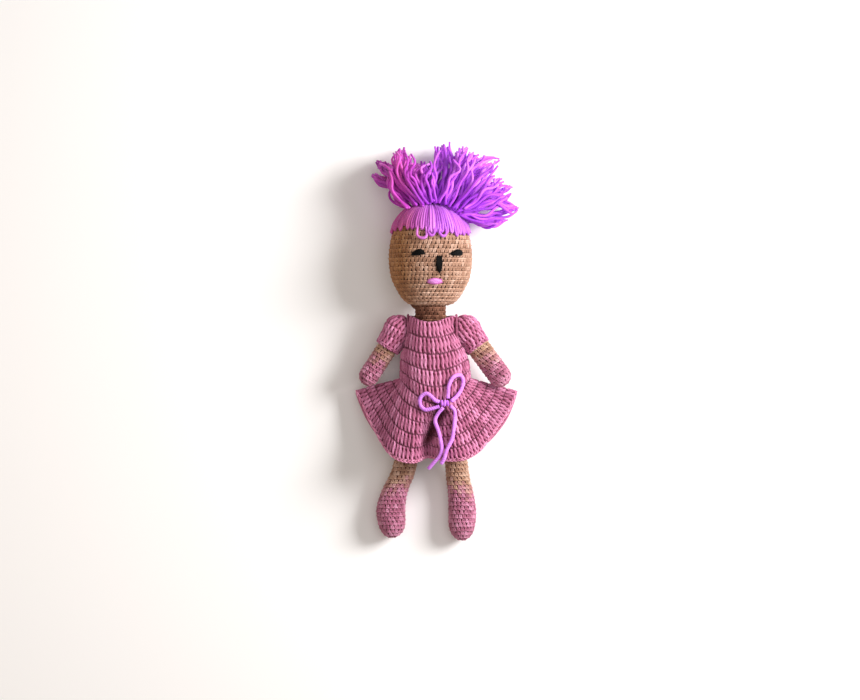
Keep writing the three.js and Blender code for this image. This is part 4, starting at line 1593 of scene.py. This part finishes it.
@dataclass(frozen=True)
class Leg:
    """A stuffed leg with a mauve foot, from the hip to the toe."""

    hand: Side
    hip: Triple
    foot: float
    long: float
    out: float
    top: float = 10.6
    skin: float = 1.1
    stitch: float = 3.6
    sock: float = 49.0
    slant: float = 0.2
    shares: tuple[Section, ...] = (
        (0.0, 0.0, 1, 0, 0), (0.012, 0.3, 1, 0, 0), (0.04, 0.62, 1, 0, 0), (0.1, 0.81, 1, 0, 0),
        (0.2, 0.8, 1, 0.12, 0.15), (0.3, 0.8, 1, 0.28, 0.32), (0.4, 0.82, 1, 0.45, 0.52),
        (0.51, 0.85, 1, 0.6, 0.75), (0.65, 0.92, 1, 0.88, 0.95), (0.78, 1, 1.04, 1, 1),
        (0.89, 0.95, 1.08, 0.97, 1), (0.955, 0.74, 1.1, 0.96, 1), (0.99, 0.4, 1.1, 0.96, 1),
        (1.0, 0.0, 1.1, 0.96, 1),
    )

    def surface(self) -> Surface:
        """The leg's surface under its stitches, from the hip to the toe.

        Returns:
            The surface, in metres.
        """
        x, y, z = self.hip
        sections = []
        for share, width, deep, out, drop in self.shares:
            wide = max(width * self.foot - self.skin, 0)
            floor = max(self.foot, width * deep * self.foot) - 0.5 - z
            level = y + self.top - share * (self.long - self.skin) - (self.skin if share == 0 else 0)
            side = x + self.hand.value * out * self.out
            sections.append((wide, level, side, z + drop * floor, wide * deep))
        return StuffedForm(tuple(sections)).surface()

    def build(self) -> list[bpy.types.Object]:
        """The leg's form and stitches.

        Returns:
            The pieces.
        """
        word = self.hand.word
        surface = self.surface()
        form = cover(f"{word}_leg_form", surface, LIMB_GAP, FORM_SINK, 44, 30)
        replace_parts(form, f"{word}_leg", f"{word}_sock", f"{word}_leg_stuffing")
        places = rounds(surface, SINGLE_ROW, self.stitch, start=0.03, end=0.985, slant=SINGLE_LEAN)
        middles = spots(surface, places) / MM
        line = self.hip[1] + self.top - self.long + self.sock
        at_line = surface.rings.mean(axis=1) / MM
        side = float(np.interp(-line, -at_line[:, 1], at_line[:, 0]))
        above = (middles[:, 1] - line) + self.hand.value * self.slant * (middles[:, 0] - side)
        made = [form]
        for part, finish, stays in (("leg", UPPER_LIMB, above > 0), ("sock", LOWER_LIMB, above <= 0)):
            dyes = 0.4 - above[stays] / 15
            name = f"{word}_{part}_stitches"
            made.append(crochet(name, surface, chosen(places, stays), Stitch.SINGLE, finish, 81, dyes=dyes))
        return made


# Dress


@dataclass(frozen=True)
class Dress:
    """The crocheted dress: a bodice worked down from the neckline and a flared skirt."""

    arms: tuple[Arm, ...]
    half_width: float = 32.4
    waist: float = WAIST
    side_rise: float = 22.0
    back_rise: float = 8.0
    top: float = 58.5
    shoulders: Pair = (6.0, 2.8)
    shoulder_level: float = 42.0
    shoulder_long: float = 14.0
    low_neck: float = 54.0
    neck_rise: float = 7.5
    neck_round: float = 3.0
    inset: float = 2.0
    row: float = 12.0
    post: float = 3.5
    skirt_row: float = 11.4
    skirt_post: float = 3.7
    chain: float = 4.3
    neckline_chain: float = 4.2
    inner_row: float = 6.5
    inner_stitch: float = 4.4
    inner_drop: float = 1.7
    slant: float = 0.12
    # How far the posts' ends turn to the painted shade along the row seams.
    seam: float = 0.8
    armhole: float = 15.9
    neckline_gap: float = 18.0
    most_moved: float = 2.8
    arm_room: tuple[Pair, ...] = ((0, 15.7), (9, 15.5), (19, 13.3), (26, 12.6))
    fold: tuple[Pair, ...] = ((1, -23), (-10.5, -56))
    fold_depth: float = 9.5
    half_span: float = 73.0
    skirt_inset: float = 1.7
    skirt_long: float = 54.0
    skirt_rise: float = 56.0
    outline: tuple[Pair, ...] = (
        (0.94, 0), (0.994, 0.14), (1, 0.31), (0.957, 0.54), (0.88, 0.67), (0.756, 0.826), (0.665, 0.93),
        (0.63, 1.02),
    )
    hem: tuple[Triple, ...] = (
        (1, -0.19, 0.2), (0.89, 0.155, 0.38), (0.715, 0.49, 0.62), (0.545, 0.787, 0.82),
        (0.34, 0.935, 0.97), (0.1, 0.95, 0.86), (-0.1, 0.9, 0.64), (-0.28, 0.985, 0.93),
        (-0.515, 0.91, 0.84), (-0.775, 0.41, 0.45), (-0.99, -0.2, 0.2), (-0.87, 0.22, 0.02),
        (-0.68, 0.6, 0.02), (-0.47, 0.83, 0.02), (-0.23, 0.9, 0.02), (0, 0.9, 0.02),
        (0.23, 0.9, 0.02), (0.47, 0.83, 0.02), (0.68, 0.6, 0.02), (0.88, 0.24, 0.02),
    )

    def waist_level(self, turns: np.ndarray) -> np.ndarray:
        """The waist seam's level.

        Args:
            turns: Turns in radians, with the front at a quarter turn.

        Returns:
            The levels, in millimetres.
        """
        across = np.cos(turns) ** 2
        back = np.maximum(-np.sin(turns), 0) * (1 - across)
        return self.waist + self.side_rise * across + self.back_rise * back

    def point(self, turns: np.ndarray, level: np.ndarray, wall: float) -> np.ndarray:
        """Points of the bodice.

        Args:
            turns: Turns in radians.
            level: Levels, in millimetres.
            wall: Millimetres by which the points lie inside it.

        Returns:
            The points, in millimetres.
        """
        rise = np.clip((level - self.waist) / (CHEST - self.waist), 0, 1) ** 2
        line = smooth_line(self.outline, 10)
        wide = np.interp((level - self.waist) / (self.top - self.waist), line[:, 1], line[:, 0])
        rounded = np.clip((level - self.shoulder_level) / self.shoulder_long, 0, 1) ** 2
        shoulder = rounded * np.abs(np.cos(turns)) ** 6
        wide = wide * self.half_width - wall + np.where(np.cos(turns) > 0, *self.shoulders) * shoulder
        deep = WAIST_DEPTH + CHEST_DEPTH_GAIN * rise
        middle = self.half_width * WAIST_DEPTH - 0.5
        side = NECK_SIDE * rise + wide * np.cos(turns)
        height = middle + (CHEST_HEIGHT - middle) * rise + wide * deep * np.sin(turns)
        return np.stack([side, level, height], axis=-1)

    def bodice_surface(self) -> Surface:
        """The bodice's cloth, from the neckline down to the waist.

        Returns:
            The surface, in metres.
        """
        turns = np.arange(96) / 96 * TURN
        share = np.linspace(0, 1, 60)[:, None]
        bottom = self.waist_level(turns) + 0.3
        rise = self.neck_rise * np.cos(turns) ** 2 - self.neck_round * np.cos(turns) ** 12
        edge = self.low_neck + rise + 3 * np.maximum(-np.sin(turns), 0) ** 2
        levels = self.low_neck + (self.waist - self.low_neck) * share
        levels = levels + (edge - self.low_neck) * (1 - share) ** 1.5 + (bottom - self.waist) * share**1.8
        return Surface(self.point(np.broadcast_to(turns, levels.shape), levels, self.inset) * MM)

    def hem_line(self, turns: np.ndarray) -> np.ndarray:
        """The hem, as a curve that doesn't swing past its points where they lie unevenly.

        Args:
            turns: Turns in radians.

        Returns:
            The points, in millimetres.
        """
        rows = np.array([
            (side * self.half_span, self.waist - drop * self.skirt_long,
             high * self.skirt_rise + 1.7 - (0.5 if high < 0.1 else 0))
            for side, drop, high in self.hem
        ])
        count = len(rows)
        where = np.mod(turns / TURN, 1) * count
        low = np.floor(where).astype(int) % count
        f = (where - np.floor(where))[:, None]
        a, b, c, d = (rows[(low + step) % count] for step in (-1, 0, 1, 2))
        pairs = ((a, b), (b, c), (c, d))
        ab, bc, cd = (np.linalg.norm(q - p, axis=1, keepdims=True) ** 0.5 for p, q in pairs)
        start = bc * ((b - a) / ab - (c - a) / (ab + bc) + (c - b) / bc)
        finish = bc * ((c - b) / bc - (d - b) / (bc + cd) + (d - c) / cd)
        square = 3 * (c - b) - 2 * start - finish
        cube = 2 * (b - c) + start + finish
        return b + start * f + square * f**2 + cube * f**3

    def skirt_surface(self) -> Surface:
        """The skirt's cloth, from the waist down to the hem.

        Returns:
            The surface, in metres.
        """
        turns = np.arange(360) / 360 * TURN
        share = np.linspace(0, 1, 48)[:, None, None]
        waist = self.point(turns, self.waist_level(turns) - 0.3, self.skirt_inset)
        hem = self.hem_line(turns)
        return Surface(self.folded(waist + (hem - waist) * share) * MM)

    def folded(self, points: np.ndarray) -> np.ndarray:
        """Presses the deep front fold below the bow into the skirt.

        Args:
            points: Points of the skirt, in millimetres.

        Returns:
            The points with the fold.
        """
        made = points.copy()
        down, off = self.in_fold(points)
        fades = np.interp(down, (-0.2, 0.06, 0.36, 0.62, 1.1), (0, 1.3, 1.2, 0.85, 0))
        lip = 2 * np.exp(-(((off + 9) / 5) ** 2)) * (fades > 0)
        dip = self.fold_depth * fades * np.exp(-((off / np.where(off < 0, 3.2, 8)) ** 2))
        made[..., 2] += np.interp(points[..., 2], (30, 40), (0, 1)) * (lip - dip)
        return made

    def in_fold(self, points: np.ndarray) -> tuple[np.ndarray, np.ndarray]:
        """Where points lie in the front fold.

        Args:
            points: Points of the skirt, in millimetres.

        Returns:
            Their shares of the way down the fold, and their millimetres across from its bottom.
        """
        (top_x, top_y), (low_x, low_y) = self.fold
        down = (top_y - points[..., 1]) / (top_y - low_y)
        off = points[..., 0] - (top_x + (low_x - top_x) * np.clip(down, 0, 1.2))
        return down, off

    def shadow(self, points: np.ndarray) -> np.ndarray:
        """How dark the skirt is in the front fold and out on its wings.

        Args:
            points: Points of the skirt, in millimetres.

        Returns:
            A value for each point, from 0 to 1.
        """
        down, off = self.in_fold(points)
        off = off - np.interp(down, (0, 0.3, 1), (4, 3.5, 0.5))
        wide = np.where(off < 0, np.interp(down, (0, 1), (5, 4)), np.interp(down, (0.3, 1), (7, 4)))
        fold = np.interp(down, (-0.05, 0.08, 0.9, 1.1), (0, 1, 1, 0)) * np.exp(-np.abs(off / wide) ** 3)
        # Painted shade on the wings, where the cloth turns away from the light.
        wings = np.interp(points[:, 0], (-46, -34, 42, 56), (0.24, 0, 0, 0.24))
        return np.maximum(fold * np.interp(points[:, 2], (26, 32), (0, 1)), wings)

    def clear_of_arms(self, points: np.ndarray) -> np.ndarray:
        """Moves points out of the space of the arms and sleeves.

        Args:
            points: The points, in metres.

        Returns:
            The moved points.
        """
        levels, rooms = np.array(self.arm_room).T * MM
        moved = points.copy()
        for arm in self.arms:
            centre = np.array(arm.shoulder) * MM
            way = np.array(arm.place().to_3x3() @ Vector((0, -1, 0)))
            along = np.clip((moved - centre) @ way, 0, levels[-1])
            axis = centre + along[:, None] * way
            off = moved - axis
            far = np.linalg.norm(off, axis=1)
            room = np.interp(along, levels, rooms)
            push = far < room
            moved[push] = axis[push] + off[push] * (room[push] / np.maximum(far[push], 1e-9))[:, None]
        return moved

    def unmoved(self, surface: Surface, places: Sequence[Placed]) -> list[Placed]:
        """The stitches that the arms' space moves only a little.

        Args:
            surface: What they are worked round.
            places: Their places.

        Returns:
            The places that stay.
        """
        far = np.zeros(len(places))
        for level in (0.1, 0.5, 0.9):
            points = spots(surface, places, level)
            far = np.maximum(far, np.linalg.norm(self.clear_of_arms(points) - points, axis=1))
        return chosen(places, far < self.most_moved * MM)

    def out_of_armholes(self, middles: np.ndarray) -> np.ndarray:
        """Which points aren't in an armhole.

        Args:
            middles: The points, in metres.

        Returns:
            A flag for each point.
        """
        stays = np.ones(len(middles), bool)
        for arm in self.arms:
            stays &= np.linalg.norm(middles - np.array(arm.shoulder) * MM, axis=1) > self.armhole * MM
        return stays

    def build(self) -> list[bpy.types.Object]:
        """The bodice and the skirt."""
        return [*self.bodice(), *self.skirt()]

    def bodice(self) -> list[bpy.types.Object]:
        """The bodice's cloth, posts and neckline.

        Returns:
            The pieces.
        """
        surface = self.bodice_surface()
        cloth = cover("bodice_cloth", surface, DRESS_GAP, 0.0, 48, 72, self.out_of_armholes, False,
                      adjust=self.clear_of_arms)
        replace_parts(cloth, "bodice")
        thicken(cloth, CLOTH_WALL)
        places = rounds(surface, self.row, self.post, slant=self.slant)
        places = chosen(places, self.out_of_armholes(spots(surface, places)))
        places = self.unmoved(surface, places)
        # The posts' ends take painted shade along the row seams.
        posts = crochet("bodice_posts", surface, places, Stitch.DOUBLE, DRESS, 91, 0.1, self.clear_of_arms,
                        seam=self.seam)
        edge = one_round(round(surface.girth(0) / MM / self.neckline_chain), -0.012, 0.04)
        middles = spots(surface, edge, 0) / MM
        near = [min(math.dist(middle, arm.shoulder) for arm in self.arms) for middle in middles]
        edge = chosen(edge, [far > self.neckline_gap for far in near])
        neckline = crochet("neckline_chain", surface, edge, Stitch.CHAIN, DRESS, 92, 0.2)
        surface.girth(0.6)
        return [cloth, posts, neckline]

    def skirt(self) -> list[bpy.types.Object]:
        """The skirt's cloth, posts and hem.

        Returns:
            The pieces.
        """
        surface = self.skirt_surface()
        cloth = cover("skirt_cloth", surface, DRESS_GAP, 0.3, 36, 180, None, False)
        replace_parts(cloth, "skirt")
        thicken(cloth, CLOTH_WALL)
        cloth.data.materials.append(DRESS_EDGE.material())
        cloth.modifiers["wall"].material_offset_rim = 1
        yarn = cloth.data.uv_layers["yarn"].data
        for face in cloth.data.polygons:
            face.material_index = int(yarn[face.loop_start].uv.y > 0.95)
        places = rounds(surface, self.skirt_row, self.skirt_post, 0.0, 0.97, self.slant, even=True)
        # The skirt posts take a painted shadow in the front fold, and painted shade on the wings and along
        # the row seams.
        posts = crochet("skirt_posts", surface, places, Stitch.DOUBLE, DRESS, 93, shade=self.shadow,
                        seam=self.seam)
        places = rounds(surface, self.inner_row, self.inner_stitch, 0.02, 0.97)
        inner = crochet("skirt_inner_stitches", surface, places, Stitch.CHAIN, DRESS, 96, -self.inner_drop)
        edge = one_round(round(surface.girth(1) / MM / self.chain), 0.975, 0.05)
        hem = crochet("skirt_hem_chain", surface, edge, Stitch.CHAIN, DRESS_EDGE, 94, 0.1)
        wide = surface.girth(1)
        return [cloth, posts, inner, hem]


@dataclass(frozen=True)
class ArmholeRound:
    """The round of yarn in which an arm is sewn to the bodice."""

    arm: Arm
    inset: float = 8.5
    gap: float = 1.3
    yarn: float = 1.1

    def build(self) -> bpy.types.Object:
        """The round of yarn.

        Returns:
            The piece.
        """
        clear = self.arm.sleeve_radius + self.gap
        wide = math.sqrt(clear**2 - self.inset**2)
        x, y, z = self.arm.shoulder
        points = [
            (x - self.arm.hand.value * self.inset, y + wide * math.cos(turn), z + wide * math.sin(turn))
            for turn in np.linspace(0, TURN, 16, endpoint=False)
        ]
        name = f"{self.arm.hand.word}_armhole"
        path = Path(points, 80, True)
        made = strands(f"{name}_yarn", [path], self.yarn, DRESS_SHADED_SEAM, 95, 8, 60, uneven=0.03)
        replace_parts(made, f"{name}_seam")
        return made


# Bow


@dataclass(frozen=True)
class Bow:
    """The lilac yarn bow at the waist: a knot, two loops and two tails."""

    yarn: float = 3.4
    twist: float = 5.0
    knot: Triple = (7.8, -18.4, 55.6)
    knot_yarn: float = 2.6
    wraps: tuple[tuple[float, float, float, float], ...] = (
        (-2.4, 12, 1.5, 1.4), (0.1, -8, 1.75, 1.6), (2.5, 10, 1.5, 1.4),
    )
    loops: tuple[tuple[str, tuple[Triple, ...]], ...] = (
        ("bow_loop_right", (
            (3, -21.2, 55.4), (-3.4, -23.2, 54.8), (-9.6, -24.2, 53.6), (-13.6, -20.8, 52.8),
            (-14.4, -15.2, 53.4), (-12, -11.2, 54.4), (-7.8, -9.8, 55.8), (-3.8, -12.8, 56),
            (-0.6, -16, 55.8), (3, -17.2, 55.6),
        )),
        ("bow_loop_left", (
            (10.4, -14.2, 55.6), (10.9, -9.2, 55.2), (11.5, -2.5, 55.4), (15.3, 4.7, 54.4), (21.6, 6.5, 51),
            (24.3, 1, 49), (22.7, -5.6, 49.9), (18.6, -12.2, 51.9), (13.6, -16.6, 54.6),
        )),
    )
    tails: tuple[tuple[str, tuple[Triple, ...]], ...] = (
        ("bow_tail_right", (
            (6.2, -22.4, 57.6), (1.2, -28.6, 56), (-0.8, -34.5, 55), (2, -42.8, 54.8), (4.1, -51.6, 55.2),
            (5.1, -59.3, 55.5), (3.1, -65.6, 54.8), (-1.5, -71, 52.8), (-6.7, -76.9, 49.6),
        )),
        ("bow_tail_left", (
            (12.9, -20.9, 57.2), (16.5, -24.9, 55.8), (16.8, -31.4, 55.8), (15.7, -41.8, 57.2),
            (14.4, -50, 57.8), (11.4, -56.3, 58), (9, -61.5, 57.8), (7.4, -67.4, 57), (4.4, -72.4, 55.4),
        )),
    )

    def build(self) -> list[bpy.types.Object]:
        """The bow's yarn and its knot.

        Returns:
            The pieces.
        """
        made = []
        for routes, end in ((self.loops, "object"), (self.tails, "bare")):
            for name, route in routes:
                path = Path(route, 90)
                yarn = strands(f"{name}_yarn", [path], self.yarn / 2, BOW, 97, 10, 48, uneven=0.05,
                               twist_pitch=self.twist)
                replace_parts(yarn, name)
                made.append(yarn)
        return [*made, self.wound_knot()]

    def wound_knot(self) -> bpy.types.Object:
        """The knot: yarn wound over itself.

        Returns:
            The piece.
        """
        x, y, z = self.knot
        paths = []
        for side, lean, high, deep in self.wraps:
            points = []
            for turn in np.linspace(0, TURN, 10, endpoint=False):
                across = high * math.cos(turn)
                aside = side - across * math.sin(math.radians(lean))
                points.append((x + aside, y + across, z + deep * math.sin(turn)))
            paths.append(Path(points, 40, True))
        made = strands("bow_knot_yarn", paths, self.knot_yarn / 2, BOW, 99, 8, 28, uneven=0.05)
        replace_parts(made, "bow_knot")
        return made


# Studio


@dataclass(frozen=True)
class Studio:
    """The floor, the lights and the camera over the doll."""

    sensor: float = 36.0
    far: float = 20.0
    floor_size: float = 4.0
    floor_drop: float = 0.0002
    floor_colour: Triple = (0.93, 0.93, 0.93)
    sky_colour: Triple = (1.0, 0.94, 0.88)
    sky: float = 0.28
    looks_at: Triple = (0.0, 0.03, 0.03)
    lights: tuple[tuple[str, Triple, float, float, Triple], ...] = (
        ("key_light", (1.0, 0.4, 0.75), 0.6, 28, (1.0, 0.98, 0.97)),
        ("fill_light", (-0.9, -0.2, 0.8), 1.0, 1.8, (1.0, 0.7, 0.48)),
        ("top_light", (0.1, 0.1, 1.5), 1.2, 6, (1.0, 0.99, 0.98)),
    )

    def build(self) -> None:
        """Makes the floor, the lights and the camera."""
        self.camera()
        self.floor()
        for name, place, size, power, colour in self.lights:
            self.light(name, place, size, power, colour)
        world = bpy.data.worlds.new("studio")
        world.use_nodes = True
        background = world.node_tree.nodes["Background"]
        background.inputs["Color"].default_value = (*self.sky_colour, 1)
        background.inputs["Strength"].default_value = self.sky
        bpy.context.scene.world = world
        bpy.context.scene.view_settings.view_transform = "Standard"

    def camera(self) -> None:
        """A camera straight over the doll, as the photograph was taken."""
        data = bpy.data.cameras.new("camera")
        data.lens = self.sensor * CAMERA_HEIGHT / FRAME_WIDTH
        data.sensor_width = self.sensor
        data.sensor_fit = "HORIZONTAL"
        data.clip_end = self.far
        camera = bpy.data.objects.new("camera", data)
        camera.location = (*FRAME_CENTRE, CAMERA_HEIGHT)
        bpy.context.scene.collection.objects.link(camera)
        bpy.context.scene.camera = camera

    def floor(self) -> None:
        """A plain pale floor."""
        bm = bmesh.new()
        bmesh.ops.create_grid(bm, x_segments=1, y_segments=1, size=self.floor_size)
        bmesh.ops.translate(bm, verts=bm.verts[:], vec=(0, 0, -self.floor_drop))
        mesh = bpy.data.meshes.new("floor")
        bm.to_mesh(mesh)
        bm.free()
        paint = bpy.data.materials.new("floor_paper")
        paint.use_nodes = True
        shader = paint.node_tree.nodes["Principled BSDF"]
        shader.inputs["Base Color"].default_value = (*self.floor_colour, 1)
        shader.inputs["Roughness"].default_value = 0.9
        mesh.materials.append(paint)
        floor = bpy.data.objects.new("floor", mesh)
        bpy.context.scene.collection.objects.link(floor)

    def light(self, name: str, place: Triple, size: float, power: float, colour: Triple) -> None:
        """A soft light that looks at the doll.

        Args:
            name: The light's name.
            place: Where it stands, in metres.
            size: The width of its panel, in metres.
            power: Its power in watts.
            colour: Its colour.
        """
        data = bpy.data.lights.new(name, "AREA")
        data.size = size
        data.energy = power
        data.color = colour
        light = bpy.data.objects.new(name, data)
        light.location = place
        way = Vector(self.looks_at) - Vector(place)
        light.rotation_euler = way.to_track_quat("-Z", "Y").to_euler()
        bpy.context.scene.collection.objects.link(light)


def ride_all(pieces: Sequence[bpy.types.Object], body: str) -> None:
    """Makes pieces move with a body."""
    for piece in pieces:
        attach(piece, body)


def main() -> None:
    """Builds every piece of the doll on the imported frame."""
    logging.basicConfig(level=logging.INFO, format="%(name)s: %(message)s")
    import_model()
    Studio().build()
    ride_all(Bow().build(), "torso")
    head = Head()
    ride_all(head.build(), "head")
    ride_all(Hair(head).build(), "head")
    ride_all(Neck().build(), "neck")
    ride_all(Torso().build(), "torso")
    arms = (
        Arm(Side.LEFT, radius=10.6, reach=36.4, drop=49, rise=2, shoulder=(26.8, 46.5, 27)),
        Arm(Side.RIGHT, radius=9.4, reach=31.5, drop=48.4, rise=-2, shoulder=(-33.6, 46.5, 27), cuff=12.4),
    )
    for arm in arms:
        ride_all(arm.build(), f"{arm.hand.word}_arm")
        ride_all([ArmholeRound(arm).build()], f"{arm.hand.word}_shoulder")
    legs = (
        Leg(Side.LEFT, hip=(13.4, -35, 24), foot=12.8, long=118.2, out=10.2),
        Leg(Side.RIGHT, hip=(-15.4, -35, 24), foot=13.3, long=115.8, out=25.1),
    )
    for leg in legs:
        ride_all(leg.build(), f"{leg.hand.word}_leg")
    ride_all(Dress(arms).build(), "torso")


if __name__ == "__main__":
    main()
